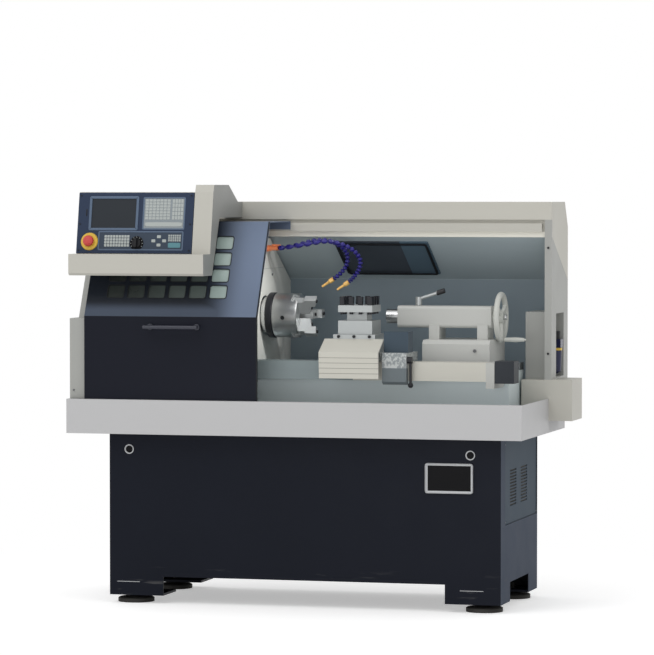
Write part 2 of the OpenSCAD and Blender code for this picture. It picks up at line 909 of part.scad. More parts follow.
// Red mushroom button on its stem
module stop_button() {
    under = stop_collar_t + stop_travel + 1;
    color("#c8423c")
        on_panel(stop_at)
            rotate_extrude()
                polygon([
                    [0, -panel_t - 6], [stem_d / 2, -panel_t - 6], [stem_d / 2, under], [stop_d / 2 - 3, under],
                    [stop_d / 2, under + 4], [stop_d / 2 - 2, under + 10], [stop_d / 2 - 8, under + 14], [0, under + 15]
                ]);
}

// Mode knob with a pointer rib on its shaft
module mode_knob() {
    color("#1d1e20")
        on_panel(knob_at) {
            translate([0, 0, -panel_t - 6])
                cylinder(d = stem_d, h = panel_t + 8);
            translate([0, 0, 1])
                cylinder(d = knob_d, h = 7);
            translate([-4, -knob_d / 2, 8])
                cube([8, knob_d, 12]);
        }
}

// Door section drawn as depth and height: front, slope, roof and a flange at the rail
module door_section() {
    t = sheet;
    fold_in = t * tan(door_angle / 2);
    top_in = t * (1 - sin(door_angle)) / cos(door_angle);
    slope_y = door_y + door_lean;
    polygon([
        [door_y, door_z], [door_y, door_fold_z], [slope_y, door_top_z], [door_back_y, door_top_z],
        [door_back_y, door_top_z - door_flange_h], [door_back_y - t, door_top_z - door_flange_h],
        [door_back_y - t, door_top_z - t], [slope_y + top_in, door_top_z - t],
        [door_y + t, door_fold_z - fold_in], [door_y + t, door_z]
    ]);
}

// Places a piece on the door's slope: first axis along the machine, second up the slope, third outwards
module on_slope(x, s) {
    translate([px(x), py(door_y), door_fold_z])
        rotate([90 - door_angle, 0, 0])
            translate([0, s, 0])
                children();
}

// Folded sliding door with a grid of window cut-outs in its slope
module door() {
    color("#3d4464")
    difference() {
        along_x(door_x, door_x + door_l)
            door_section();
        for (column = [0 : pane_columns - 1], row = [0 : pane_rows - 1])
            on_slope(pane_x1 - column * pane_pitch_x - pane_w / 2, pane_start + row * pane_pitch_s - pane_h / 2)
                translate([0, 0, -2 * sheet])
                    linear_extrude(4 * sheet)
                        rounded([pane_w, pane_h], pane_r);
    }
}

// Clear sheet behind the door's cut-outs
module door_panes() {
    span_x = (pane_columns - 1) * pane_pitch_x + pane_w + 2 * pane_lap;
    span_s = (pane_rows - 1) * pane_pitch_s + pane_h + 2 * pane_lap;
    color("#b9cfcb", 0.6)
        on_slope(pane_x1 + pane_w / 2 + pane_lap - span_x, pane_start - pane_h / 2 - pane_lap)
            translate([0, 0, -sheet - pane_t])
                linear_extrude(pane_t)
                    rounded([span_x, span_s], pane_r);
}

// Bow handle on the door's front
module door_handle() {
    y = door_y - handle_room - handle_d / 2;
    post_d = handle_d - 2;
    color("#1b1c20") {
        bar_x(handle_x, handle_x + handle_l, handle_d, y, handle_z);
        for (x = [handle_x + handle_d, handle_x + handle_l - handle_d])
            translate([px(x), py(door_y), handle_z])
                rotate([90, 0, 0])
                    cylinder(d = post_d, h = handle_room + handle_d / 2);
    }
}

// Hollow spindle with its nose flange and pulley seat
module spindle() {
    length = nose_x + nose_t - pulley_x;
    color("#b8bcc0")
        turned_x(pulley_x, spindle_y, spindle_z)
            polygon([
                [spindle_bore / 2, 0], [pulley_bore / 2, 0], [pulley_bore / 2, pulley_w + 8],
                [spindle_d / 2, pulley_w + 8], [spindle_d / 2, length - nose_t], [nose_d / 2, length - nose_t],
                [nose_d / 2, length], [spindle_bore / 2, length]
            ]);
}

pulley_bore = 76;

// Spindle's pulley on its seat
module spindle_pulley() {
    color("#6c7076")
        pulley(spindle_pulley_d, spindle_y, spindle_z, pulley_bore);
}

// Motor's pulley with the motor's shaft
module motor_pulley() {
    color("#6c7076") {
        pulley(motor_pulley_d, spindle_y, motor_z, motor_shaft_d);
        bar_x(pulley_x, motor_x + motor_l / 2 - cut, motor_shaft_d, spindle_y, motor_z);
    }
}

// Black back plate between the spindle's nose and the chuck
module back_plate() {
    color("#1c1d21")
        turned_x(back_plate_x, spindle_y, spindle_z)
            polygon([
                [spindle_bore / 2, 0], [chuck_d / 2 - 2, 0], [chuck_d / 2 + 2, 4], [chuck_d / 2 + 2, back_plate_t - 3],
                [chuck_d / 2 - 1, back_plate_t], [spindle_bore / 2, back_plate_t]
            ]);
}

// Turns a piece to one of the three jaw positions
module at_jaw(n) {
    translate([px(chuck_x1), py(spindle_y), spindle_z])
        rotate([n * 120 + 35, 0, 0])
            children();
}

// Chuck body with three stepped jaw slots and its key sockets
module chuck_body() {
    key_d = 16;
    key_deep = 30;
    slot_w = jaw_w + 2 * slide_gap;
    color("#c3c6ca")
    difference() {
        turned_x(chuck_x, spindle_y, spindle_z)
            polygon([
                [spindle_bore / 2, 0], [chuck_d / 2 - 2, 0], [chuck_d / 2, 2], [chuck_d / 2, chuck_l - 4],
                [chuck_d / 2 - 4, chuck_l], [spindle_bore / 2, chuck_l]
            ]);
        for (n = [0 : 2]) {
            at_jaw(n) {
                translate([-jaw_slot_deep, -slot_w / 2, 0])
                    cube([jaw_slot_deep + cut, slot_w, chuck_d]);
                translate([-jaw_slot_deep, -slot_w / 2 - jaw_guide, 0])
                    cube([jaw_guide_t, slot_w + 2 * jaw_guide, chuck_d]);
            }
            at_jaw(n + 0.5)
                translate([-chuck_l * 0.55, 0, chuck_d / 2 - key_deep])
                    cylinder(d = key_d, h = chuck_d);
        }
    }
}

// Reversible hard jaw: a guided base, and steps that rise outwards to a slanted front
module jaw(n) {
    r = [jaw_rest, chuck_d / 2 - jaw_end_gap];
    mid = (r[0] + r[1]) / 2 + 2;
    slant = 8;
    back = slide_gap - jaw_slot_deep;
    color("#b2b6bb")
    at_jaw(n) {
        translate([0, jaw_w / 2, 0])
            rotate([90, 0, 0])
                linear_extrude(jaw_w)
                    polygon([
                        [back, r[0]], [jaw_low - slant, r[0]], [jaw_low, mid], [jaw_out - slant / 2, mid],
                        [jaw_out, r[1]], [jaw_low / 2, r[1]], [jaw_low / 2, r[1] - slant], [back, r[1] - slant]
                    ]);
        translate([back, -jaw_w / 2 - jaw_guide, r[0] + jaw_guide])
            cube([jaw_guide_t - 2 * slide_gap, jaw_w + 2 * jaw_guide, r[1] - slant - r[0] - jaw_guide]);
    }
}

module jaw_1() { jaw(0); }
module jaw_2() { jaw(1); }
module jaw_3() { jaw(2); }

// Saddle on the ways, with its front wing and the feed nut's bracket
module saddle() {
    x = [carriage_x - saddle_l / 2, carriage_x + saddle_l / 2];
    wing_z = guard_z1 + 3 * slide_gap;
    nut = [carriage_x - 30, carriage_x + 30];
    nut_y = screw_y - screw_d / 2 - 10;
    drop_y = screw_y + guard_w / 2 + 3;
    nut_z = [screw_z - screw_d / 2 - 9, screw_z + screw_d / 2 + 9];
    color("#a9adad")
    difference() {
        union() {
            block(x, [bed_y, bed_y1], [way_z + slide_gap, saddle_z1]);
            block([x[0], wing_x1], [saddle_y, bed_y - 8], [wing_z, saddle_z1]);
            block(x, [bed_y - 9, bed_y], [wing_z, saddle_z1]);
            block(nut, [drop_y, bed_y - 8], [nut_z[0], wing_z]);
            block(nut, [nut_y, drop_y], nut_z);
        }
        bar_x(nut[0] - cut, nut[1] + cut, screw_d + 2 * run_gap, screw_y, screw_z);
        block([carriage_x - cross_l / 2 + 24, carriage_x + cross_l / 2 - 24], [bed_y + 70, bed_y1 - 70],
            [way_z, saddle_z1 - 14]);
    }
}

// Apron hung on the saddle's front wing
module apron() {
    y = [saddle_y - apron_t, saddle_y];
    color("#6f757c")
    difference() {
        along_x(carriage_x + apron_l / 2 + 6, wing_x1)
            polygon([
                [y[0], 800], [y[0], saddle_z1], [y[1], saddle_z1], [y[1], 790], [y[0] + 10, 790]
            ]);
        bar_x(wing_x1 - lock_bore, wing_x1 + cut, lever_d + 2 * run_gap, lock_y, lock_z);
    }
}

lock_y = saddle_y - apron_t / 2;
lock_z = 876;
lock_arm_x = 12;
lock_arm_l = 88;
lock_bore = 24;

// Folded chip shield at the right end of the saddle
module chip_shield() {
    y = saddle_y + 8;
    x = [carriage_x + cross_l / 2 + 26, wing_x1 - 2];
    color("#4b535c") {
        block(x, [y, y + sheet], [saddle_z1, saddle_z1 + 74]);
        block([x[1] - sheet, x[1]], [y + sheet, y + 70], [saddle_z1, saddle_z1 + 74]);
    }
}

// Cross slide with chamfered edges
module cross_slide() {
    x = [carriage_x - cross_l / 2, carriage_x + cross_l / 2];
    z0 = saddle_z1 + slide_gap;
    color("#bdc1c2")
    difference() {
        block(x, [cross_y, cross_y + cross_w], [z0, cross_z1]);
        for (y = [cross_y + 30 : 46 : cross_y + cross_w - 30], slot_x = [x[0] + 10, x[1] - 24])
            if (y > post_y + 90)
                block([slot_x, slot_x + 14], [y, y + 30], [cross_z1 - 8, cross_z1 + cut]);
    }
}

// Telescopic apron cover: a sloped top and overlapping vertical leaves
module apron_cover() {
    leaf_h = (apron_kink - apron_z) / leaf_count;
    leaf_step = 1.5;
    front = [
        for (k = [0 : leaf_count - 1], end = [0, 1])
            [apron_y + (leaf_count - 1 - k) * leaf_step, apron_z + (k + end) * leaf_h]
    ];
    back_y = apron_y + leaf_count * leaf_step + sheet;
    color("#dcd9c8")
        along_x(carriage_x - apron_l / 2, carriage_x + apron_l / 2)
            polygon(concat(front, [
                [cross_y, cross_z1], [cross_y, cross_z1 - 2 * sheet],
                [back_y, apron_kink - sheet], [back_y, apron_z]
            ]));
}

// Tool post base with the pivot that the post turns on
module post_base() {
    half = post_side / 2 + 14;
    color("#b4b8ba") {
        block([carriage_x - half, carriage_x + half], [post_y - half, post_y + half], [cross_z1, cross_z1 + post_base_t]);
        translate([px(carriage_x), py(post_y), cross_z1])
            cylinder(d = pivot_d, h = post_base_t + post_h - 12);
    }
}

// Places of the clamping screws along the post's four edges
post_edge = post_side / 2 - 12;
screw_spots = concat(
    [for (x = [-3, -1, 1, 3], y = [-1, 1]) [x * post_edge / 3, y * post_edge]],
    [for (x = [-1, 1], y = [-1, 1]) [x * post_edge, y * post_edge / 3]]
);
slot_z = post_z + post_h - 24 - slot_h;

// Four-way tool post with tool slots on all sides
module tool_post() {
    core = post_side - 2 * slot_deep;
    color("#aeb3b6")
    translate([px(carriage_x), py(post_y), 0])
    difference() {
        translate([-post_side / 2, -post_side / 2, post_z])
            cube([post_side, post_side, post_h]);
        difference() {
            translate([-post_side, -post_side, slot_z])
                cube([2 * post_side, 2 * post_side, slot_h]);
            translate([-core / 2, -core / 2, slot_z - cut])
                cube([core, core, slot_h + 2 * cut]);
        }
        translate([0, 0, post_z - cut])
            cylinder(d = pivot_d + 2 * run_gap, h = post_h - 12 + cut);
        for (at = screw_spots)
            translate([at[0], at[1], slot_z + slot_h - cut])
                cylinder(d = clamp_screw_d + 0.4, h = post_h);
    }
}

// Square-headed tool clamping screws
module post_screws() {
    head = clamp_screw_d * 1.1;
    top = post_z + post_h;
    color("#1e1f22")
    translate([px(carriage_x), py(post_y), 0])
    for (at = screw_spots)
        translate([at[0], at[1], 0]) {
            translate([0, 0, slot_z + slot_h - 8])
                cylinder(d = clamp_screw_d, h = top - slot_z - slot_h + 9);
            translate([-head / 2, -head / 2, top + 0.5])
                cube([head, head, 30]);
        }
}

// Feed screw along the front of the bed
module feed_screw() {
    color("#9a9ea2")
        bar_x(screw_x - 12, screw_x1 + screw_end, screw_d, screw_y, screw_z);
}

// Folded guard over the feed screw, open at the back and below
module screw_guard() {
    color("#aab0b0")
        along_x(screw_x, screw_x1)
            polygon([
                [guard_y, guard_z1 - guard_h], [guard_y, guard_z1], [guard_y + guard_w, guard_z1],
                [guard_y + guard_w, guard_z1 - sheet], [guard_y + sheet, guard_z1 - sheet],
                [guard_y + sheet, guard_z1 - guard_h]
            ]);
}

// Dark end bracket of the feed screw beside the headstock
module screw_bracket() {
    color("#3f464f")
    difference() {
        along_x(screw_x - 16, screw_x)
            polygon([
                [guard_y - 12, guard_z1 - guard_h - 8], [guard_y - 12, guard_z1 + 4], [guard_y + 30, guard_z1 + 26],
                [guard_y + guard_w, guard_z1 + 12], [bed_y - 2, guard_z1 - 8], [bed_y - 2, rail_z - way_h],
                [bed_wall_y, rail_z - way_h], [bed_wall_y, guard_z1 - guard_h - 8]
            ]);
        bar_x(screw_x - 13, screw_x + cut, screw_d + 2 * run_gap, screw_y, screw_z);
    }
}

// Feed motor with its bearing block at the right end of the bed
module feed_motor() {
    body = guard_w - 6;
    block_x1 = screw_x1 + feed_block_l;
    foot_z = rail_z - way_h - 24;
    color("#565b60")
    difference() {
        union() {
            block([screw_x1, block_x1], [guard_y, bed_wall_y], [foot_z, rail_z - way_h]);
            block([screw_x1, block_x1], [guard_y, guard_y + guard_w], [foot_z, guard_z1]);
            block([block_x1, block_x1 + feed_motor_l], [screw_y - body / 2, screw_y + body / 2],
                [screw_z - body / 2, screw_z + body / 2]);
        }
        bar_x(screw_x1 - cut, screw_x1 + screw_end + 2, screw_d + 2 * run_gap, screw_y, screw_z);
    }
}

// Tailstock's base, shaped over the bed's two ways
module tail_base() {
    x = [tail_base_x, tail_base_x + tail_base_l];
    y = [bed_y + 5, bed_y1 - 5];
    color("#d3d1c4") {
        along_x(x[0], x[1])
            polygon([
                [y[0], way_z + slide_gap], [y[0], tail_base_top - 14], [y[0] + 14, tail_base_top],
                [y[1] - 14, tail_base_top], [y[1], tail_base_top - 14], [y[1], way_z + slide_gap]
            ]);
    }
}

// Tailstock's barrel housing on two pedestals, bored for the quill
module tail_body() {
    half = tail_d / 2;
    window = [tail_base_x + 44, tail_base_x + tail_base_l - 62];
    color("#d6d4c8")
    difference() {
        union() {
            translate([0, py(spindle_y - half) - py(0), spindle_z - half])
                along_x(tail_x, tail_x + tail_l)
                    rounded([tail_d, tail_d], 12);
            for (x = [[tail_base_x + 6, window[0]], [window[1], tail_base_x + tail_base_l - 24]])
                block(x, [spindle_y - half - 10, spindle_y + half + 10], [tail_base_top, spindle_z - half + 12]);
        }
        bar_x(tail_x - cut, tail_x + tail_l - 40, quill_d + 2 * run_gap, spindle_y, spindle_z);
        bar_x(tail_x, tail_x + tail_l + cut, wheel_shaft_d + 2 * run_gap, spindle_y, spindle_z);
        translate([px(lever_x), py(spindle_y), spindle_z + quill_d / 2 + 4])
            cylinder(d = lever_d + 4 + 2 * run_gap, h = tail_d);
    }
}

wheel_shaft_d = 20;

// Quill with its taper socket
module quill() {
    color("#c9cccd")
    difference() {
        bar_x(tail_x - quill_out, tail_x - quill_out + quill_len, quill_d, spindle_y, spindle_z);
        bar_x(tail_x - quill_out - cut, tail_x - quill_out + 80, quill_bore, spindle_y, spindle_z);
    }
}

quill_bore = 24;

// Three-spoke handwheel with its shaft and crank pin
module handwheel() {
    hub_d = 44;
    color("#c2c5c5") {
        turned_x(wheel_x, spindle_y, spindle_z)
            translate([grip_r, 0])
                circle(d = rim_d);
        bar_x(tail_x + tail_l + 1, wheel_x + rim_d / 2, hub_d, spindle_y, spindle_z);
        bar_x(tail_x + tail_l - 36, tail_x + tail_l + 4, wheel_shaft_d, spindle_y, spindle_z);
        for (n = [0 : 2])
            translate([px(wheel_x), py(spindle_y), spindle_z])
                rotate([n * 120 + 180, 0, 0])
                    cylinder(d = rim_d * 0.8, h = grip_r);
        bar_x(wheel_x, wheel_x + crank_l + 6, pin_d, spindle_y, spindle_z - grip_r);
    }
}

pin_d = 8;

// Turning grip on the crank pin
module crank_grip() {
    start = wheel_x + rim_d / 2 + 2;
    color("#d0d0cc")
        turned_x(start, spindle_y, spindle_z - grip_r)
            polygon([
                [pin_d / 2 + run_gap, 0], [7, 0], [9, crank_l * 0.5], [6.5, crank_l - 12], [pin_d / 2 + run_gap, crank_l - 12]
            ]);
}

// Quill locking lever with a black grip
module quill_lever() {
    z = spindle_z + quill_d / 2 + 5;
    hub_z = spindle_z + tail_d / 2 + 1;
    color("#b7babb")
    translate([px(lever_x), py(spindle_y), 0]) {
        translate([0, 0, z])
            cylinder(d = lever_d + 4, h = hub_z - z + 2);
        translate([0, 0, hub_z])
            cylinder(d = lever_d + 12, h = lever_hub_h);
        translate([0, 0, hub_z + lever_hub_h - 8])
            rotate([0, 72, 0]) {
                cylinder(d = lever_d, h = lever_l);
                translate([0, 0, lever_l - 26])
                    cylinder(d = lever_d + 6, h = 30);
            }
    }
}

// Carriage lock lever at the apron's right end
module lock_lever() {
    color("#22252a") {
        bar_x(wing_x1 - lock_bore + 1, wing_x1 + lock_arm_x, lever_d, lock_y, lock_z);
        bar_x(wing_x1 + 1, wing_x1 + 1.5 * lock_arm_x, lever_d + 12, lock_y, lock_z);
        translate([px(wing_x1 + lock_arm_x), py(lock_y), lock_z - lock_arm_l])
            cylinder(d = lever_d - 3, h = lock_arm_l);
        translate([px(wing_x1 + lock_arm_x), py(lock_y), lock_z - lock_arm_l])
            sphere(d = lever_d + 7);
    }
}

// Two brass-coloured coolant taps on the partition
module coolant_taps() {
    color("#e2703a")
    for (y = tap_ys)
        difference() {
            union() {
                bar_x(tap_x, tap_x + 10, tap_d + 6, y, tap_z);
                bar_x(tap_x + 10, tap_x + tap_l, tap_d, y, tap_z);
            }
            translate([px(tap_x + tap_stem_x), py(y), tap_z])
                cylinder(d = tap_stem_d + 2 * run_gap, h = 2 * tap_d);
        }
}

tap_l = 44;
tap_d = 16;
tap_stem_x = 26;
tap_stem_d = 6;

module tap_lever(n) {
    color("#e2703a")
    translate([px(tap_x + tap_stem_x), py(tap_ys[n]), tap_z]) {
        cylinder(d = tap_stem_d, h = 14);
        translate([0, 0, 9])
            linear_extrude(5) {
                circle(d = 12);
                translate([0, -4])
                    square([20, 8]);
            }
    }
}

module tap_lever_1() { tap_lever(0); }
module tap_lever_2() { tap_lever(1); }

// Hose routes from the taps over the chuck, as length from the tap, depth and height
hose_start = tap_x + tap_l;
routes = [
    [[0, 415, 1261], [90, 412, 1272], [177, 410, 1287], [240, 408, 1277], [287, 406, 1253],
        [311, 404, 1219], [305, 402, 1184], [287, 400, 1158], [269, 398, 1141]],
    [[0, 443, 1261], [70, 440, 1273], [130, 438, 1289], [185, 436, 1289], [231, 434, 1269],
        [255, 432, 1238], [253, 430, 1202], [232, 428, 1172], [205, 426, 1151]]
];

// A point on a smooth curve through the route, at a share of its length
function spot(r, u) =
    let (n = len(r) - 1, k = min(floor(u * n), n - 1), t = u * n - k,
        a = r[max(k - 1, 0)], b = r[k], c = r[k + 1], d = r[min(k + 2, n)])
    0.5 * (2 * b + (c - a) * t + (2 * a - 5 * b + 4 * c - d) * t * t + (3 * b - a - 3 * c + d) * t * t * t);

// Stands a piece between two points of a route
module between(a, b) {
    v = b - a;
    translate([px(hose_start + a[0]), py(a[1]), a[2]])
        rotate([0, acos(v[2] / norm(v)), atan2(v[1], v[0])])
            children();
}

// Two poseable hoses of ball-and-socket links
module coolant_hoses() {
    neck = 2.5;
    gap = 0.45;
    color("#22228c")
    for (r = routes, k = [0 : hose_links - 1]) {
        a = spot(r, k / hose_links);
        b = spot(r, (k + 1) / hose_links);
        h = norm(b - a);
        between(a, b)
            rotate_extrude($fn = 24)
                polygon([
                    [0, gap], [neck, gap], [hose_d / 2, h * 0.25], [hose_d / 2, h * 0.6],
                    [hose_d / 2 - 3, h * 0.8], [neck, h - gap], [0, h - gap]
                ]);
    }
}

// Orange nozzles at the ends of the hoses
module coolant_nozzles() {
    color("#e8a94a")
    for (r = routes)
        between(r[len(r) - 1], r[len(r) - 1] + [-42, -2, -28])
            rotate_extrude($fn = 32)
                polygon([[2, 0.4], [hose_d / 2, 0.4], [hose_d / 2, 16], [5, 22], [4, 50], [2, 50]]);
}

// Axis of the air unit, and the heights of its bowl and head
air_x = guard_r - bowl_d / 2 - 1;
air_y = niche_y + niche_w - bowl_d / 2 - 4;
air_bowl_z = niche_z + 8;
air_bowl_h = 110;
air_head_h = 30;
air_stem_d = 8;
air_head_z = air_bowl_z + air_bowl_h - 16;

// Air filter and regulator on a bracket in the niche
module air_unit() {
    r = bowl_d / 2;
    color("#2c3158")
    difference() {
        union() {
            translate([px(air_x), py(air_y), air_bowl_z])
                rotate_extrude()
                    polygon([[0, 0], [8, 0], [r - 3, 8], [r, air_bowl_h - 20], [r, air_bowl_h], [0, air_bowl_h]]);
            block([air_x - r, air_x + r], [air_y - r, air_y + r], [air_head_z, air_head_z + air_head_h]);
            block([guard_r - niche_deep, air_x], [air_y - 10, air_y + 10], [air_head_z + 6, air_head_z + 24]);
        }
        translate([px(air_x), py(air_y), air_head_z + air_head_h - 12])
            cylinder(d = air_stem_d + 2 * run_gap, h = air_head_h);
    }
}

// Pressure knob of the air regulator
module air_knob() {
    color("#1a1b1e")
    translate([px(air_x), py(air_y), air_head_z + air_head_h - 11]) {
        cylinder(d = air_stem_d, h = 16);
        translate([0, 0, 12])
            cylinder(d = bowl_d - 12, h = 28);
    }
}

cabinet();
vent_panel();
levelling_feet();
chip_tray();
bed();
headstock();
spindle_bearings();
partition();
left_cover();
main_motor();
drive_belts();
rear_guard();
liner_window();
right_pillar();
base_box();
door_rail();
console_housing();
control_panel();
screen();
keypad();
stop_collar();
coolant_taps();
coolant_hoses();
coolant_nozzles();
screw_guard();
screw_bracket();
feed_motor();
air_unit();
spindle();
back_plate();
chuck_body();
spindle_pulley();
jaw_1();
jaw_2();
jaw_3();
motor_pulley();
door();
door_panes();
door_handle();
saddle();
apron();
chip_shield();
cross_slide();
apron_cover();
post_base();
tool_post();
post_screws();
feed_screw();
tail_base();
tail_body();
quill();
handwheel();
crank_grip();
quill_lever();
lock_lever();
stop_button();
mode_knob();
tap_lever_1();
tap_lever_2();
air_knob();
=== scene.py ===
"""A small flat-bed turning lathe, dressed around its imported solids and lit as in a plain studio."""

import json
import math

import bpy
from mathutils import Matrix, Vector


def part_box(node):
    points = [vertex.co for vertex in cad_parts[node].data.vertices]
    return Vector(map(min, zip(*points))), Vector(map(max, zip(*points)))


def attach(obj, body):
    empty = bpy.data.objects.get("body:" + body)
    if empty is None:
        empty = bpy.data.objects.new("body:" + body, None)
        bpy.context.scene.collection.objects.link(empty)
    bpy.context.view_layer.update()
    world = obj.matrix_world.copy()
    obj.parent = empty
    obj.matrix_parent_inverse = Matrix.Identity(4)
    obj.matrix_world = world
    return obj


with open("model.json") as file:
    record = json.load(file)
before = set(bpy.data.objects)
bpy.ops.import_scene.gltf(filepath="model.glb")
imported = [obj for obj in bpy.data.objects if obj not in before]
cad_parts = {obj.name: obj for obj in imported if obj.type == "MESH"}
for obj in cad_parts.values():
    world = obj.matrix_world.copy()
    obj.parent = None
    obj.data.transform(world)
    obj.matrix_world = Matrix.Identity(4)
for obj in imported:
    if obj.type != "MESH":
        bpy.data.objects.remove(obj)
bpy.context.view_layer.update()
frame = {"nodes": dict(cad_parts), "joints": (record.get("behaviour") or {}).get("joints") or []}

# The view: a long lens at chest height, standing to the right of the machine,
# so that the right-hand walls just show beside the front.
camera_place = (3.483, -12.885, 1.468)
camera_yaw = 15.15
camera_pitch = 2.1
lens_mm = 204.6
sensor_mm = 36
clip_far = 60

bpy.ops.object.camera_add(
    location=camera_place,
    rotation=(math.radians(90 - camera_pitch), 0, math.radians(camera_yaw)),
)
camera = bpy.context.object
camera.data.lens = lens_mm
camera.data.sensor_width = sensor_mm
camera.data.clip_end = clip_far
bpy.context.scene.camera = camera
bpy.context.scene.view_settings.view_transform = "Standard"


class Shade:
    """A socket in a node tree; sums, products and comparisons of sockets add Math nodes."""

    def __init__(self, tree, socket=None):
        self.tree = tree
        self.socket = socket

    def node(self, kind, settings=None, sockets=None, out=0):
        made = self.tree.nodes.new(kind)
        for name, value in (settings or {}).items():
            setattr(made, name, value)
        for name, value in (sockets or {}).items():
            if isinstance(value, Shade):
                self.tree.links.new(value.socket, made.inputs[name])
            else:
                made.inputs[name].default_value = value
        return Shade(self.tree, made.outputs[out] if made.outputs else None)

    def math(self, operation, first, second):
        return self.node("ShaderNodeMath", {"operation": operation}, {0: first, 1: second})

    def __add__(self, other):
        return self.math("ADD", self, other)

    def __radd__(self, other):
        return self.math("ADD", other, self)

    def __sub__(self, other):
        return self.math("SUBTRACT", self, other)

    def __rsub__(self, other):
        return self.math("SUBTRACT", other, self)

    def __mul__(self, other):
        return self.math("MULTIPLY", self, other)

    def __rmul__(self, other):
        return self.math("MULTIPLY", other, self)

    def __gt__(self, other):
        return self.math("GREATER_THAN", self, other)

    def __lt__(self, other):
        return self.math("LESS_THAN", self, other)


def start(name):
    """A new material with an empty tree, the hand that adds its nodes, and the surface's own points."""
    made = bpy.data.materials.new(name)
    made.use_nodes = True
    made.node_tree.nodes.clear()
    shade = Shade(made.node_tree)
    return made, shade, shade.node("ShaderNodeTexCoord", out="Object")


def close(shade, gloss=0.5, **sockets):
    """Ends a material in one surface with the given sockets."""
    named = {key.replace("_", " ").title(): value for key, value in sockets.items()}
    named["Specular IOR Level"] = gloss
    surface = shade.node("ShaderNodeBsdfPrincipled", {}, named)
    shade.node("ShaderNodeOutputMaterial", {}, {"Surface": surface})


def linear(red, green, blue):
    """A colour as it looks on a screen, from 0 to 255 each, in the shader's own scale."""
    return tuple(((c / 255 + 0.055) / 1.055) ** 2.4 for c in (red, green, blue))


def shaded(colour, share=1):
    return tuple(min(1, c * share) for c in colour) + (1,)


def blend(shade, first, second, share):
    """A colour between two, by a share that changes over the surface."""
    return shade.node("ShaderNodeMix", {"data_type": "RGBA"}, {0: share, 6: first, 7: second}, out=2)


def mottle(shade, colour, low, high, share):
    """One colour that wanders between a darker and a lighter depth of itself."""
    return blend(shade, shaded(colour, low), shaded(colour, high), share)


def along(shade, place, axis):
    """One coordinate of a point."""
    return shade.node("ShaderNodeSeparateXYZ", {}, {0: place}, out=axis)


def ray(shade, kind):
    """1 for light rays of one kind, and 0 for others."""
    return shade.node("ShaderNodeLightPath", out=f"Is {kind} Ray")


def noise(shade, place, scale, detail=4.0):
    return shade.node("ShaderNodeTexNoise", {}, {"Vector": place, "Scale": scale, "Detail": detail})


def streaks(shade, place, scales, detail=3.0):
    """Noise with a scale of its own in x, y and z, which draws it out along the lowest."""
    stretched = shade.node("ShaderNodeMapping", {}, {"Vector": place, "Scale": scales})
    return noise(shade, stretched, 1.0, detail)


def ramp(shade, value, low, high):
    """0 below low, 1 above high, and smooth between them."""
    limits = {"Value": value, "From Min": low, "From Max": high}
    return shade.node("ShaderNodeMapRange", {"interpolation_type": "SMOOTHSTEP"}, limits)


def bumps(shade, height, strength, distance=0.0002):
    sockets = {"Strength": strength, "Distance": distance, "Height": height}
    return shade.node("ShaderNodeBump", {}, sockets)


cloud_scale, peel_scale, wipe_scale = 2.2, 260.0, 9.0
peel_depth = 0.0003
wipe_depth = 0.2


def coat(shade, place, base, rough, peel, gloss=0.5):
    """The skin that all paints and plastics share: orange peel and faint wipe marks."""
    skin = bumps(shade, noise(shade, place, peel_scale, 2.0), peel, peel_depth)
    wipe = noise(shade, place, wipe_scale, 6.0)
    close(shade, gloss, base_color=base, roughness=rough - wipe_depth / 2 + wipe_depth * wipe, normal=skin)


def paint(name, colour, rough=0.42, cloud_depth=0.05, peel=0.25, gloss=0.5):
    """Stoved paint or moulded plastic with faint clouds in its colour."""
    made, shade, place = start(name)
    base = mottle(shade, colour, 1 - cloud_depth, 1 + cloud_depth, noise(shade, place, cloud_scale))
    coat(shade, place, base, rough, peel, gloss)
    return made


grain_scale, line_scale, smear_scale = 700.0, 8.0, 14.0
tool_mark = 0.12


def metal(name, colour, rough, lines_along=None, polish=1.0):
    """Machined metal: fine tool lines along one axis, or an even grain where none is given."""
    made, shade, place = start(name)
    scales = [grain_scale] * 3
    if lines_along is not None:
        scales[lines_along] = line_scale
    lines = streaks(shade, place, scales)
    smear = noise(shade, place, smear_scale)
    close(
        shade,
        base_color=mottle(shade, colour, 0.88, 1.08, 0.6 * lines + 0.4 * smear),
        metallic=polish,
        roughness=rough - 0.06 + 0.16 * smear,
        normal=bumps(shade, lines, tool_mark),
    )
    return made


def dress(material, *names):
    """Gives a material to solids of the frame."""
    for name in names:
        slots = frame["nodes"][name].data.materials
        slots.clear()
        slots.append(material)


# The studio: a pale floor that keeps the machine's shadow and fades to white away from
# it, a white surround, two soft lamps in front, and a narrow spot.
floor_size = 60
fade_from, fade_to = 0.9, 2.2
near_glow = 0.42
floor_grey = (0.9, 0.9, 0.9, 1)
surround, extra_in_gloss = 0.72, 0.2

bpy.ops.mesh.primitive_plane_add(size=floor_size, location=(0, 0, 0))
floor = bpy.context.object
floor.name = "floor"
floor_paint, shade, place = start("floor_paint")
from_machine = shade.node("ShaderNodeVectorMath", {"operation": "LENGTH"}, {0: place}, out="Value")
fade = ramp(shade, from_machine, fade_from, fade_to)
seen_by_eye = ray(shade, "Camera")
seen = seen_by_eye + ray(shade, "Glossy") + ray(shade, "Transmission")
floor_glow = shade.node("ShaderNodeEmission", {}, {"Strength": near_glow * seen})
floor_matt = shade.node("ShaderNodeBsdfDiffuse", {}, {"Color": floor_grey})
floor_near = shade.node("ShaderNodeAddShader", {}, {0: floor_glow, 1: floor_matt})
floor_far = shade.node("ShaderNodeEmission", {}, {"Strength": 1.0})
floor_all = shade.node("ShaderNodeMixShader", {}, {0: fade * seen_by_eye, 1: floor_near, 2: floor_far})
shade.node("ShaderNodeOutputMaterial", {}, {"Surface": floor_all})
floor.data.materials.append(floor_paint)

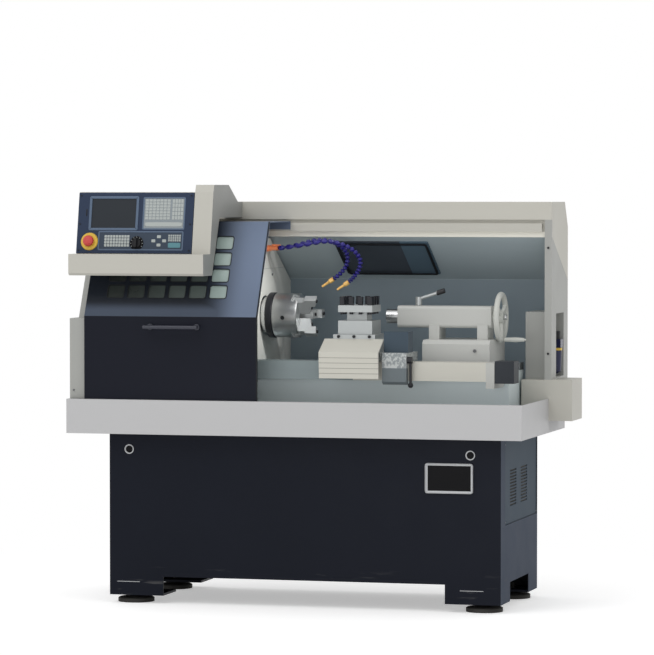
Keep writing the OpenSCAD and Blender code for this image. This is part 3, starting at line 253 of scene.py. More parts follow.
world = bpy.data.worlds.new("studio")
bpy.context.scene.world = world
world.use_nodes = True
world.node_tree.nodes.clear()
sky = Shade(world.node_tree)
direct = sky.math("MAXIMUM", ray(sky, "Camera"), ray(sky, "Transmission"))
sky_strength = surround + (1 - surround) * direct + extra_in_gloss * ray(sky, "Glossy")
sky_light = sky.node("ShaderNodeBackground", {}, {"Color": (1, 1, 1, 1), "Strength": sky_strength})
sky.node("ShaderNodeOutputWorld", {}, {"Surface": sky_light})


def lamp(kind, name, place, target, watts):
    """A lamp that looks from its place at a target."""
    bpy.ops.object.light_add(type=kind, location=place)
    made = bpy.context.object
    made.name = name
    made.data.energy = watts
    made.rotation_euler = (Vector(target) - Vector(place)).to_track_quat("-Z", "Y").to_euler()
    return made.data


key_lamp = lamp("AREA", "key_lamp", (-1.6, -3.6, 4.8), (0, 0, 0.8), 46)
key_lamp.size = 2.4
front_lamp = lamp("AREA", "front_lamp", (0.2, -4.8, 0.5), (0.1, 0.2, 1.1), 22)
front_lamp.size = 2.0

# The spot stands high on the right, and lights the chuck and the sheet behind it.
spot = lamp("SPOT", "work_spot", (1.5, -1.0, 2.4), (-0.24, -0.02, 1.06), 200)
spot.spot_size = math.radians(12)
spot.spot_blend = 1.0
spot.shadow_soft_size = 0.12

# How near to a face a point still counts as on it, where one solid has two paints.
on_face = 0.0005


def select_only(piece):
    bpy.ops.object.select_all(action="DESELECT")
    piece.select_set(True)
    bpy.context.view_layer.objects.active = piece


def new_piece(add, **settings):
    """A new primitive, alone in the selection."""
    bpy.ops.object.select_all(action="DESELECT")
    add(**settings)
    return bpy.context.object


def pick(piece, wanted):
    """Selects, in edit mode, the faces whose normal passes a test."""
    bpy.ops.object.mode_set(mode="EDIT")
    bpy.ops.mesh.select_mode(type="FACE")
    bpy.ops.mesh.select_all(action="DESELECT")
    bpy.ops.object.mode_set(mode="OBJECT")
    for face in piece.data.polygons:
        face.select = wanted(face.normal)
    bpy.ops.object.mode_set(mode="EDIT")


def sink_front(piece, rim, depth):
    """Leaves a rim on the front, and sinks what it encloses in the piece's second material."""
    pick(piece, lambda normal: normal.y < -0.9)
    bpy.ops.mesh.inset(thickness=rim)
    piece.active_material_index = 1
    bpy.ops.object.material_slot_assign()
    bpy.ops.mesh.extrude_region_move(TRANSFORM_OT_translate={"value": (0, depth, 0)})
    bpy.ops.object.mode_set(mode="OBJECT")


def soften(piece, width, segments=2):
    """Rounds every sharp edge by a bevel that is applied."""
    select_only(piece)
    rounding = piece.modifiers.new("rounding", "BEVEL")
    rounding.width = width
    rounding.segments = segments
    rounding.limit_method = "ANGLE"
    bpy.ops.object.modifier_apply(modifier=rounding.name)
    bpy.ops.object.shade_smooth_by_angle(angle=math.radians(40))


def settle(piece, name, body, slot, *materials):
    """Puts the piece's place into its mesh, and fixes it to a body."""
    select_only(piece)
    bpy.ops.object.transform_apply(location=True, rotation=True, scale=True)
    piece.name = name
    piece.data.name = name
    for material in materials:
        piece.data.materials.append(material)
    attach(piece, body)
    return piece


def slab(low, high):
    """A block between two corners, its size applied."""
    low, high = Vector(low), Vector(high)
    made = new_piece(bpy.ops.mesh.primitive_cube_add, size=1, location=(low + high) / 2)
    made.scale = high - low
    bpy.ops.object.transform_apply(location=False, rotation=False, scale=True)
    return made


def trim(name, body, slot, material, low, high, edge_r, turn=Matrix()):
    """A softened block between two corners, carried to its place by a matrix."""
    made = slab(low, high)
    soften(made, edge_r)
    made.matrix_world = turn @ made.matrix_world
    return settle(made, name, body, slot, material)


def thicken(piece, thickness):
    """Gives a sheet its thickness, on the side that it faces."""
    sheet = piece.modifiers.new("sheet", "SOLIDIFY")
    sheet.thickness = thickness
    sheet.offset = 1
    bpy.ops.object.modifier_apply(modifier=sheet.name)


def open_frame(length, height, rim, thick, corner):
    """A flat frame round an opening, with rounded corners, its underside on the XY plane."""
    made = new_piece(bpy.ops.mesh.primitive_plane_add, size=1)
    made.scale = (length, height, 1)
    bpy.ops.object.transform_apply(location=False, rotation=False, scale=True)
    bpy.ops.object.mode_set(mode="EDIT")
    bpy.ops.mesh.select_mode(type="VERT")
    bpy.ops.mesh.select_all(action="SELECT")
    bpy.ops.mesh.bevel(offset=corner, segments=4, affect="VERTICES")
    bpy.ops.mesh.select_mode(type="FACE")
    bpy.ops.mesh.select_all(action="SELECT")
    bpy.ops.mesh.inset(thickness=rim)
    bpy.ops.mesh.delete(type="FACE")
    bpy.ops.object.mode_set(mode="OBJECT")
    thicken(made, thick)
    soften(made, 0.25 * min(rim, thick))
    return made


def spread(master, places, name, body, slot, material):
    """Copies of one modelled piece, each moved by its own matrix, joined into one piece."""
    copies = []
    for place in places:
        copy = master.copy()
        copy.data = master.data.copy()
        bpy.context.scene.collection.objects.link(copy)
        copy.data.transform(place)
        copies.append(copy)
    select_only(copies[0])
    for copy in copies:
        copy.select_set(True)
    if len(copies) > 1:
        bpy.ops.object.join()
    return settle(copies[0], name, body, slot, material)


def basis(right, up, out):
    """The turn that lays X, Y and Z along three directions."""
    return Matrix((right, up, out)).transposed().to_4x4()


def joint_of(body):
    """The joint that carries a body."""
    return [joint for joint in frame["joints"] if joint["child"] == body][0]


# Levelling feet: four turned pads under threaded studs, which carry the cabinet's
# foot plates. The pads are faced with dark rubber.
pad_rubber = paint("pad_rubber", linear(60, 59, 57), rough=0.7, cloud_depth=0.25, peel=0.6, gloss=0.2)
dress(pad_rubber, "levelling_feet")

# Base cabinet: folded and welded sheet, stoved in a very dark blue. Its lower edge
# and legs are rubbed by pallets and shoes, and its right side is a matt slate.
cabinet_low, cabinet_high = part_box("cabinet")
cabinet_blue = linear(26, 29, 38)
cabinet_slate = linear(72, 80, 94)
scuff_grey, scuff_height, scuff_share = linear(112, 112, 112), 0.17, 0.55

cabinet_paint, shade, place = start("cabinet_paint")
scratch = streaks(shade, place, (9, 9, 60), 6.0)
side = along(shade, place, "X") > cabinet_high.x - on_face
base = mottle(shade, cabinet_blue, 0.85, 1.12, noise(shade, place, 2.6))
base = blend(shade, base, shaded(cabinet_slate), side)
rubbed = ramp(shade, along(shade, place, "Z"), scuff_height, 0.0) * ramp(shade, scratch, 0.6, 0.75)
base = blend(shade, base, shaded(scuff_grey), scuff_share * rubbed)
coat(shade, place, base, rough=0.36, peel=0.2, gloss=0.07 - 0.065 * side)
dress(cabinet_paint, "cabinet")

vent_paint = paint("vent_paint", linear(83, 93, 103), rough=0.5, gloss=0.01)
dress(vent_paint, "vent_panel")

# Bare plate on the cabinet's front: a black sheet in a bright rim. The rounding takes
# every edge and is deeper than the sheet, so the rim folds through it and stands out.
plate_l, plate_h, plate_t = 0.171, 0.105, 0.0012
plate_round, plate_rim, plate_sink = 0.009, 0.0022, 0.0005
plate_from_right, plate_from_top = 0.099, 0.086
plate_x = cabinet_high.x - plate_from_right
plate_z = cabinet_high.z - plate_from_top
plate = slab(
    (plate_x - plate_l, cabinet_low.y - plate_t, plate_z - plate_h),
    (plate_x, cabinet_low.y, plate_z),
)
select_only(plate)
bpy.ops.object.mode_set(mode="EDIT")
bpy.ops.mesh.select_mode(type="EDGE")
bpy.ops.mesh.select_all(action="SELECT")
bpy.ops.mesh.bevel(offset=plate_round, segments=5)
bpy.ops.object.mode_set(mode="OBJECT")
rim_steel = paint("rim_steel", linear(196, 198, 200), rough=0.3, peel=0.1)
plate_black = paint("plate_black", linear(20, 20, 22), rough=0.3, peel=0.15, gloss=0.06)
settle(plate, "blank_plate", "frame", "black_oxide", rim_steel, plate_black)
sink_front(plate, plate_rim, plate_sink)

# Lifting eyes: two pressed eyelets high on the cabinet's front, each a shallow cup. Its black bottom is
# painted shade that stands in for the hole for a bar, and its pale steel rim also stands in for the hole's
# glint.
eye_r, eye_t, eye_rim, eye_edge = 0.017, 0.004, 0.0035, 0.0012
eye_from_left, eye_from_right, eye_drop = 0.074, 0.109, 0.057
for number, eye_x in enumerate((cabinet_low.x + eye_from_left, cabinet_high.x - eye_from_right), 1):
    eye = new_piece(
        bpy.ops.mesh.primitive_cylinder_add,
        vertices=40,
        radius=eye_r,
        depth=eye_t,
        location=(eye_x, cabinet_low.y - eye_t / 2, cabinet_high.z - eye_drop),
        rotation=(math.radians(90), 0, 0),
    )
    settle(eye, f"lifting_eye_{number}", "frame", "dark_navy_paint", rim_steel, plate_black)
    sink_front(eye, eye_rim, eye_t * 0.9)
    soften(eye, eye_edge, 3)

# Leg slits: the foot plates' bright cut edges, which show as a thin line on each front leg.
slit_l, slit_t, slit_z = 0.084, 0.002, 0.076
slit_proud, slit_sunk, slit_edge = 0.0006, 0.001, 0.0004
slit_from_left, slit_from_right = 0.028, 0.062
slit_places = (cabinet_low.x + slit_from_left, cabinet_high.x - slit_from_right - slit_l)
for number, slit_x in enumerate(slit_places, 1):
    slit_low = (slit_x, cabinet_low.y - slit_proud, slit_z)
    slit_high = (slit_x + slit_l, cabinet_low.y + slit_sunk, slit_z + slit_t)
    trim(f"leg_slit_{number}", "frame", "ground_iron", rim_steel, slit_low, slit_high, slit_edge)

# Chip tray: one folded pan of thicker sheet in light grey.
tray_paint = paint("tray_paint", linear(194, 194, 195), rough=0.5, cloud_depth=0.02)
dress(tray_paint, "chip_tray")

# Bed: a grey-white iron casting with two ways, ground bright on top and left
# painted on the walls between them.
bed_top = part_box("bed")[1].z
iron_white = linear(200, 201, 197)
wall_white = linear(226, 238, 240)
way_grey = linear(150, 154, 157)
ground_h = 0.026

casting_paint = paint("casting_paint", iron_white, rough=0.46, peel=0.5)
way_paint, shade, place = start("way_paint")
ground_lines = streaks(shade, place, (6, 700, 700))
ground_top = along(shade, place, "Z") > bed_top - ground_h
painted = mottle(shade, wall_white, 0.93, 1.05, noise(shade, place, 3.0))
bright = mottle(shade, way_grey, 0.8, 1.15, ground_lines)
close(
    shade,
    base_color=blend(shade, painted, bright, ground_top),
    metallic=0.9 * ground_top,
    roughness=0.44 - 0.14 * ground_lines,
    normal=bumps(shade, ground_lines, tool_mark),
)
dress(way_paint, "bed")
dress(casting_paint, "headstock", "tail_base", "tail_body")

bright_steel = metal("bright_steel", (0.62, 0.63, 0.63), 0.28)
ground_iron = metal("ground_iron", linear(176, 180, 180), 0.42, lines_along=0, polish=0.4)
dress(bright_steel, "spindle_bearings")

# Drive: the motor stands on a shelf in the cabinet, and three belts run up to the
# spindle's pulley behind the belt guard.
motor_paint = paint("motor_paint", linear(62, 70, 88), rough=0.5, peel=0.6)
belt_rubber = paint("belt_rubber", linear(40, 40, 42), rough=0.8, peel=0.5)
dress(motor_paint, "main_motor")
dress(belt_rubber, "drive_belts")
dress(ground_iron, "motor_pulley", "spindle_pulley")

# Partition: painted sheet screwed to the headstock's right-hand end, in two pieces
# that meet in a seam above the chuck.
partition_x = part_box("partition")[1].x
cream = linear(212, 210, 200)
partition_paint = paint("partition_paint", linear(228, 228, 221), rough=0.42, gloss=0.3)
dress(partition_paint, "partition")


def cap_screw():
    """One socket-head screw of unit diameter: its head, a rounded rim and a socket."""
    rim, wall, socket_depth, edge = 0.06, 0.16, 0.3, 0.05
    head = new_piece(
        bpy.ops.mesh.primitive_cylinder_add, vertices=24, radius=0.5, depth=0.5, location=(0, 0, 0.25)
    )
    bpy.ops.object.transform_apply(location=True)
    pick(head, lambda normal: normal.z > 0.9)
    bpy.ops.mesh.inset(thickness=rim)
    bpy.ops.mesh.inset(thickness=wall)
    bpy.ops.mesh.extrude_region_move(TRANSFORM_OT_translate={"value": (0, 0, -socket_depth)})
    bpy.ops.object.mode_set(mode="OBJECT")
    soften(head, edge)
    return head


master_screw = cap_screw()


def screws(name, spots, facing, size, body, slot, material):
    """Screws at each spot, their heads standing out along facing."""
    turn = Vector(facing).to_track_quat("Z", "Y").to_matrix().to_4x4() @ Matrix.Scale(size, 4)
    places = [Matrix.Translation(Vector(spot)) @ turn for spot in spots]
    return spread(master_screw, places, name, body, slot, material)


right, front = (1, 0, 0), (0, -1, 0)
black_oxide = paint("black_oxide", linear(34, 35, 40), rough=0.34, peel=0.15, gloss=0.3)
screw_steel = paint("screw_steel", linear(120, 122, 124), rough=0.35, peel=0.1)
spindle_y, spindle_z = 0.042, 1.02
spots_round_spindle = ((-0.115, 0.135), (0.09, 0.145), (-0.105, 0.085), (-0.125, -0.115))
partition_spots = [(partition_x, spindle_y + y, spindle_z + z) for y, z in spots_round_spindle]
screws("partition_screws", partition_spots, right, 0.009, "frame", "ground_iron", screw_steel)

# Spindle and chuck: a black back plate on the spindle's nose, and a ground steel chuck
# with three stepped jaws, each held to its guide by two socket screws.
chuck_low, chuck_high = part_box("chuck_body")
turned_steel, shade, place = start("turned_steel")
rings = streaks(shade, place, (900, 4, 4))
smear = noise(shade, place, 18.0)
close(
    shade,
    base_color=mottle(shade, (0.66, 0.67, 0.67), 0.9, 1.06, 0.5 * rings + 0.5 * smear),
    metallic=1.0,
    roughness=0.26 + 0.06 * smear,
    normal=bumps(shade, rings, 0.1),
)
dress(turned_steel, "spindle", "chuck_body")
jaw_steel = metal("jaw_steel", linear(186, 189, 189), 0.4, polish=0.55)
dress(jaw_steel, "jaw_1", "jaw_2", "jaw_3")
dress(black_oxide, "back_plate")

jaw_numbers = (1, 2, 3)
low_screw_r, top_screw_r, jaw_screw_d = 0.034, 0.063, 0.012
jaw_low_l, jaw_slant = 0.046, 0.003
for number in jaw_numbers:
    outward = Vector(joint_of(f"jaw_{number}")["axis"])
    centre = Vector((0, spindle_y, spindle_z))
    top_x = Vector((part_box(f"jaw_{number}")[1].x - jaw_slant, 0, 0))
    low_x = Vector((chuck_high.x + jaw_low_l - 2 * jaw_slant, 0, 0))
    spots = [centre + outward * top_screw_r + top_x, centre + outward * low_screw_r + low_x]
    screws(f"jaw_screws_{number}", spots, right, jaw_screw_d, f"jaw_{number}", "black_oxide", black_oxide)

# Chuck keys: the square-drive pinions, dark at the bottom of their sockets between the jaws.
chuck_r, socket_d, socket_drop, socket_share = 0.08, 0.0155, 0.012, 0.55
key_x = chuck_high.x - socket_share * (chuck_high.x - chuck_low.x)
for number in jaw_numbers:
    outward = -Vector(joint_of(f"jaw_{number}")["axis"])
    key_spot = Vector((key_x, spindle_y, spindle_z)) + outward * (chuck_r - socket_drop)
    screws(f"chuck_key_{number}", [key_spot], outward, socket_d, "spindle", "black_oxide", black_oxide)

# Guards: folded sheet in beige, stoved, screwed to the tray's back edge and to the
# headstock. The wall and liner that face the work are a bluer grey, partly painted light.
guard_low, guard_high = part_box("rear_guard")
beige = linear(195, 193, 184)
shade_beige = linear(168, 169, 165)
beige_paint = paint("beige_paint", beige, rough=0.46, cloud_depth=0.03)
shade_paint = paint("shade_paint", shade_beige, rough=0.46, cloud_depth=0.03)
dress(beige_paint, "base_box", "door_rail")
# Painted shade: the left cover and the right pillar take a greyer, darker copy of the beige.
dress(shade_paint, "left_cover", "right_pillar")

# Console housing: beige, with its right-hand end painted a greyer, darker beige as painted shade.
housing_end_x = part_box("console_housing")[1].x
housing_paint, shade, place = start("housing_paint")
cloud = noise(shade, place, cloud_scale)
fronts = mottle(shade, beige, 0.95, 1.01, cloud)
end = mottle(shade, shade_beige, 0.84, 0.9, cloud)
base = blend(shade, fronts, end, along(shade, place, "X") > housing_end_x - on_face)
coat(shade, place, base, rough=0.46, peel=0.25)
dress(housing_paint, "console_housing")

# Rear guard: beige outside, with painted light on the lip that the door's rail shades, and lined
# inside between its two end walls.
sheet_t = 0.003
# Painted light: the inner greys are bluer for the cool light under the hood, and lighter on the liner than
# on the wall.
liner_grey = linear(180, 193, 198)
wall_grey = linear(140, 154, 163)
lip_y, lip_z, lip_depth = 0.11, 1.304, 0.002
liner_z, liner_skin = 1.145, 0.001
rail_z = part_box("door_rail")[0].z
guard_paint, shade, place = start("guard_paint")
across, depth, height = (along(shade, place, axis) for axis in "XYZ")
cloud = noise(shade, place, cloud_scale)
slope = (lip_z - liner_z) / (guard_high.y - lip_y)
below_liner = height < lip_z + liner_skin + slope * lip_y - slope * depth
between_ends = (across > guard_low.x + sheet_t) * (across < guard_high.x - sheet_t)
before_back = depth < guard_high.y - sheet_t / 2
inside = below_liner * between_ends * before_back * (depth > lip_y + lip_depth)
# Painted light: the lip under the door rail is lightened to offset the rail's shade.
painted_light_on_lip = (height < rail_z) * (height > lip_z - sheet_t) * (depth < lip_y + lip_depth)
outer = blend(shade, mottle(shade, beige, 1.05, 1.12, cloud), shaded(beige, 1.65), painted_light_on_lip)
lined = mottle(shade, liner_grey, 0.93, 1.07, cloud)
walled = mottle(shade, wall_grey, 0.9, 1.1, cloud)
inner = blend(shade, walled, lined, height > liner_z)
coat(shade, place, blend(shade, outer, inner, inside), rough=0.46, peel=0.25, gloss=0.3)
dress(guard_paint, "rear_guard")

# Liner window: a tinted sheet behind the liner's cut-out, which lights the work.
window_low, window_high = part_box("liner_window")
window_l = window_high.x - window_low.x
split_share = 0.7
dark_tint, slate_tint = linear(68, 74, 83), linear(88, 108, 123)
tinted_sheet, shade, place = start("tinted_sheet")
cloud = noise(shade, place, cloud_scale)
dark_part = mottle(shade, dark_tint, 0.9, 1.15, cloud)
slate_part = mottle(shade, slate_tint, 0.95, 1.05, cloud)
# Painted light: the sheet is lighter past seven tenths of its length, as light on the glass.
past_split = along(shade, place, "X") > window_low.x + split_share * window_l
coat(shade, place, blend(shade, dark_part, slate_part, past_split), rough=0.2, peel=0.04, gloss=0.3)
dress(tinted_sheet, "liner_window")

# Window gasket: a rubber frame on the liner, round the window's cut-out.
window_h, window_lap, window_t = 0.24, 0.012, 0.005
gasket_over, gasket_rim, gasket_t, gasket_corner = 0.007, 0.009, 0.003, 0.012
gasket_gap = 0.0001
x_axis = Vector((1, 0, 0))
liner_run = Vector((0, guard_high.y - lip_y, liner_z - lip_z)).normalized()
to_room = liner_run.cross(x_axis)
window_face = (window_low + window_high) / 2 + to_room * (window_t / 2 + sheet_t + gasket_gap)
window_rubber = paint("window_rubber", linear(30, 32, 36), rough=0.6, gloss=0.2)
gasket = open_frame(
    window_l - 2 * window_lap + 2 * gasket_over,
    window_h - 2 * window_lap + 2 * gasket_over,
    gasket_rim,
    gasket_t,
    gasket_corner,
)
gasket.matrix_world = Matrix.Translation(window_face) @ basis(x_axis, -liner_run, to_room)
settle(gasket, "window_gasket", "frame", "belt_rubber", window_rubber)

# Pillar screws: one near the head of the right-hand pillar's front edge and one near its foot.
pillar_low, pillar_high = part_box("right_pillar")
pillar_screw_x = pillar_high.x - 0.012
pillar_spots = [(pillar_screw_x, pillar_low.y, z) for z in (pillar_high.z - 0.1, pillar_low.z + 0.16)]
screws("pillar_screws", pillar_spots, front, 0.008, "frame", "ground_iron", black_oxide)

# Cover screws: four on the belt guard's front, and four on the vent panel's corners.
cover_low, cover_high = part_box("left_cover")
vent_low, vent_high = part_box("vent_panel")
cover_in_x, cover_in_z, vent_in = 0.015, 0.03, 0.009
cover_spots = [
    (x, cover_low.y, z)
    for x in (cover_low.x + cover_in_x, cover_high.x - cover_in_x)
    for z in (cover_low.z + cover_in_z, cover_high.z - cover_in_z)
]
vent_spots = [
    (vent_high.x, y, z)
    for y in (vent_low.y + vent_in, vent_high.y - vent_in)
    for z in (vent_low.z + vent_in, vent_high.z - vent_in)
]
screws("cover_screws", cover_spots, front, 0.007, "frame", "ground_iron", screw_steel)
screws("vent_screws", vent_spots, right, 0.005, "frame", "ground_iron", screw_steel)

# Shade sheet: a dark sheet behind the vent panel's slots, painted shade that keeps the cabinet's inside
# dark through them.
shade_sheet_inset, shade_sheet_t, shade_sheet_gap, shade_sheet_edge = 0.03, 0.002, 0.0003, 0.0006
shade_sheet_x = vent_low.x - shade_sheet_gap
shade_sheet_low = (shade_sheet_x - shade_sheet_t, vent_low.y + shade_sheet_inset, vent_low.z + shade_sheet_inset)
shade_sheet_high = (shade_sheet_x, vent_high.y - shade_sheet_inset, vent_high.z - shade_sheet_inset)
trim("vent_shade_sheet", "frame", "pad_rubber", pad_rubber, shade_sheet_low, shade_sheet_high, shade_sheet_edge)

# Air unit: a filter bowl of dark blue plastic in the pillar's niche, with a yellow
# band under its head and a black knob on top.
bowl_plastic = paint("bowl_plastic", linear(36, 40, 74), rough=0.25, peel=0.1, gloss=0.3)
black_plastic = paint("black_plastic", linear(26, 26, 29), rough=0.4, peel=0.4, gloss=0.25)
yellow_plastic = paint("yellow_plastic", linear(228, 190, 70), rough=0.35, peel=0.1)
dress(bowl_plastic, "air_unit")
dress(black_plastic, "air_knob")
air_x, air_y = joint_of("air_knob")["pos_m"][:2]
bowl_r, air_head_h, band_h, band_t, band_drop, band_edge = 0.023, 0.03, 0.009, 0.0008, 0.001, 0.0002
band_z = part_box("air_unit")[1].z - air_head_h - band_h / 2 - band_drop
band = new_piece(
    bpy.ops.mesh.primitive_cylinder_add,
    vertices=48,
    radius=bowl_r,
    depth=band_h,
    end_fill_type="NOTHING",
    location=(air_x, air_y, band_z),
)
thicken(band, band_t)
soften(band, band_edge)
settle(band, "bowl_band", "frame", "yellow_plastic", yellow_plastic)

# Sliding door: one folded sheet in dark blue gloss paint. Its front stays dark. Its slope is painted
# light and sheen in a greyer blue, with painted shadow from the console on its left and a little painted
# light along the fold.
door_low, door_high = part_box("door")
door_fold_z = 1.023
pane_column_x = -0.324
lit_from_x = pane_column_x - 0.06
door_blue = linear(29, 31, 40)
slope_lit_blue = linear(108, 121, 143)
door_paint, shade, place = start("door_paint")
across, height = along(shade, place, "X"), along(shade, place, "Z")
cloud = noise(shade, place, 2.4)
# Painted light and shade: the slope lightens towards the right and near the fold, and stays dark on the
# left.
painted_lit = ramp(shade, across, lit_from_x, pane_column_x + 0.1)
painted_light_near_fold = 0.38 * ramp(shade, height, door_fold_z + 0.055, door_fold_z + 0.02)
painted_lit = shade.math("MAXIMUM", painted_lit, painted_light_near_fold)
sloped = height > door_fold_z + 0.0015
below = mottle(shade, door_blue, 0.88, 1.12, cloud)
upper = mottle(shade, slope_lit_blue, 0.05, 1.0, 0.94 * painted_lit + 0.06 * cloud)
coat(shade, place, blend(shade, below, upper, sloped), rough=0.34, peel=0.2, gloss=0.08)
dress(door_paint, "door")

# Door panes: painted light where light falls through them, and painted shade under the console's shadow.
pane_light = linear(158, 175, 170)
pane_sheet, shade, place = start("pane_sheet")
across = along(shade, place, "X")
painted_lit = 0.9 * ramp(shade, across, lit_from_x, pane_column_x - 0.03)
near = 0.2 * ramp(shade, across, door_low.x + 0.1, lit_from_x)
painted_lit = shade.math("MAXIMUM", painted_lit, near)
painted_pane_light = mottle(shade, pane_light, 0.03, 0.98, painted_lit + 0.08 * noise(shade, place, 7.0))
coat(shade, place, painted_pane_light, rough=0.24, peel=0.04, gloss=0.25)
dress(pane_sheet, "door_panes")

handle_paint = paint("handle_paint", linear(46, 48, 60), rough=0.35, gloss=0.5)
dress(handle_paint, "door_handle")

# Door trim: a rubber rim round every pane, feet under the handle's posts, and a seal
# along the closing edge, on the front and up the slope.
door_lean = 0.164
slope_rise = Vector((0, door_lean, door_high.z - door_fold_z))
slope_up = slope_rise.normalized()
slope_turn = basis(x_axis, slope_up, x_axis.cross(slope_up))
slope_frame = Matrix.Translation((0, door_low.y, door_fold_z)) @ slope_turn
pane_columns, pane_rows = 6, 4
pane_w, pane_h, pane_pitch_x, pane_pitch_s = 0.062, 0.05, 0.076, 0.064
first_pane_x, first_pane_s = door_high.x - 0.156, 0.098
rim_over, rim_w, rim_t, rim_corner = 0.002, 0.003, 0.0012, 0.009
pane_centres = [
    (first_pane_x - column * pane_pitch_x, first_pane_s + row * pane_pitch_s, 0)
    for column in range(pane_columns)
    for row in range(pane_rows)
]
pane_places = [slope_frame @ Matrix.Translation(centre) for centre in pane_centres]
master_rim = open_frame(pane_w + 2 * rim_over, pane_h + 2 * rim_over, rim_w, rim_t, rim_corner)
spread(master_rim, pane_places, "pane_rims", "door", "belt_rubber", window_rubber)
bpy.data.objects.remove(master_rim)

handle_low, handle_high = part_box("door_handle")
foot_r, foot_t, foot_edge, post_inset = 0.011, 0.004, 0.0008, 0.014
master_foot = new_piece(bpy.ops.mesh.primitive_cylinder_add, vertices=32, radius=foot_r, depth=foot_t)
soften(master_foot, foot_edge)
foot_y, foot_z = door_low.y - foot_t / 2, (handle_low.z + handle_high.z) / 2
foot_turn = Matrix.Rotation(math.radians(90), 4, "X")
foot_places = [
    Matrix.Translation((x, foot_y, foot_z)) @ foot_turn
    for x in (handle_low.x + post_inset, handle_high.x - post_inset)
]
spread(master_foot, foot_places, "handle_feet", "door", "black_plastic", handle_paint)
bpy.data.objects.remove(master_foot)

seal_t, seal_edge = 0.0014, 0.0004
seal_x = door_high.x - 0.005
seal_low = (seal_x, door_low.y - seal_t, door_low.z)
seal_high = (door_high.x, door_low.y, door_fold_z)
trim("front_seal", "door", "belt_rubber", window_rubber, seal_low, seal_high, seal_edge)
seal_low, seal_high = (seal_x, 0, 0), (door_high.x, slope_rise.length, seal_t)
trim("slope_seal", "door", "belt_rubber", window_rubber, seal_low, seal_high, seal_edge, slope_frame)

# Console: a folded beige housing with a dark blue control panel, a screen behind dark
# glass in a raised frame, membrane keys, a mode knob and an emergency-stop button.
# Places on the panel are u along it and s up it, from its lower left corner.
mode_turn = joint_of("mode_knob")
panel_out = Vector(mode_turn["axis"])
panel_up = panel_out.cross(x_axis)
knob_u, knob_s = 0.225, 0.036
panel_corner = Matrix.Translation((-knob_u, -knob_s, 0))
panel_turn = basis(x_axis, panel_up, panel_out)
panel_frame = Matrix.Translation(Vector(mode_turn["pos_m"])) @ panel_turn @ panel_corner

panel_paint = paint("panel_paint", linear(52, 63, 84), rough=0.4, gloss=0.1)
screen_glass = paint("screen_glass", linear(52, 56, 61), rough=0.3, peel=0.02, gloss=0.1)
red_plastic = paint("red_plastic", linear(205, 70, 66), rough=0.3, peel=0.1)
dress(panel_paint, "control_panel")
dress(screen_glass, "screen")
dress(yellow_plastic, "stop_collar")
dress(red_plastic, "stop_button")
dress(black_plastic, "mode_knob")

# Key films: the upper one is pale grey, and the strip below the screen is as dark as
# the panel.
film_grey, strip_blue = linear(142, 150, 155), linear(60, 71, 86)
strip_top_s = 0.0825
strip_top_z = (panel_frame @ Vector((0, strip_top_s, 0))).z
key_film, shade, place = start("key_film")
film = mottle(shade, film_grey, 0.95, 1.05, noise(shade, place, cloud_scale))
base = blend(shade, shaded(strip_blue), film, along(shade, place, "Z") > strip_top_z)
coat(shade, place, base, rough=0.45, peel=0.25, gloss=0.2)
dress(key_film, "keypad")

# Frames: a raised bezel round the screen, and flat rims round the two key films. Each row
# has a corner and size on the panel, how far the frame laps over, its rim and its height.
bezel_blue = paint("bezel_blue", linear(92, 108, 130), rough=0.4, gloss=0.2)
bezel_corner = 0.006
panel_frames = (
    ("screen_bezel", (0.048, 0.088), (0.172, 0.112), 0.006, 0.009, 0.0024),
    ("keypad_rim", (0.245, 0.088), (0.152, 0.112), 0.003, 0.005, 0.0012),
    ("strip_rim", (0.083, 0.013), (0.312, 0.064), 0.003, 0.005, 0.0012),
)
for name, corner, size, over, rim, thick in panel_frames:
    piece = open_frame(size[0] + 2 * over, size[1] + 2 * over, rim, thick, bezel_corner)
    centre = (corner[0] + size[0] / 2, corner[1] + size[1] / 2, 0)
    piece.matrix_world = panel_frame @ Matrix.Translation(centre)
    settle(piece, name, "frame", "navy_paint", bezel_blue)

# Keys: raised membrane keys in even blocks, all of one moulded form.
key_edge, key_t, key_gap, key_sunk = 0.14, 0.0011, 0.0016, 0.0002
master_key = slab((-0.5, -0.5, 0), (0.5, 0.5, 1))
bpy.ops.object.transform_apply(location=True)
soften(master_key, key_edge)
key_white = paint("key_white", linear(176, 182, 180), rough=0.45, peel=0.1, gloss=0.3)
key_teal = paint("key_teal", linear(92, 140, 150), rough=0.45, peel=0.1, gloss=0.3)


def key_block(left, low, right, high, columns=1, rows=1):
    """Places for keys in even columns and rows between two corners of the panel."""
    pitch_u, pitch_s = (right - left) / columns, (high - low) / rows
    size = Matrix.Diagonal((pitch_u - key_gap, pitch_s - key_gap, key_t, 1))
    spots = [
        (left + (column + 0.5) * pitch_u, low + (row + 0.5) * pitch_s, -key_sunk)
        for column in range(columns)
        for row in range(rows)
    ]
    return [panel_frame @ Matrix.Translation(spot) @ size for spot in spots]


upper_keys = key_block(0.2505, 0.121, 0.3445, 0.196, 7, 7)
upper_keys += key_block(0.3505, 0.121, 0.3925, 0.196, 4, 5)
upper_keys += key_block(0.2505, 0.096, 0.3925, 0.113)
strip_keys = key_block(0.103, 0.023, 0.198, 0.066, 9, 4)
strip_keys += key_block(0.341, 0.0425, 0.389, 0.068, 6, 4)
cross_u, cross_s = 0.307, 0.045
arrow_u, arrow_s = 0.008, 0.006
for du, ds in ((-0.02, 0), (0.02, 0), (0, -0.015), (0, 0.015)):
    u, s = cross_u + du, cross_s + ds
    strip_keys += key_block(u - arrow_u, s - arrow_s, u + arrow_u, s + arrow_s)
wide_key = key_block(0.341, 0.0195, 0.389, 0.039)
spread(master_key, upper_keys, "upper_keys", "frame", "panel_film", key_white)
spread(master_key, strip_keys, "strip_keys", "frame", "panel_film", key_white)
spread(master_key, wide_key, "wide_key", "frame", "panel_film", key_teal)

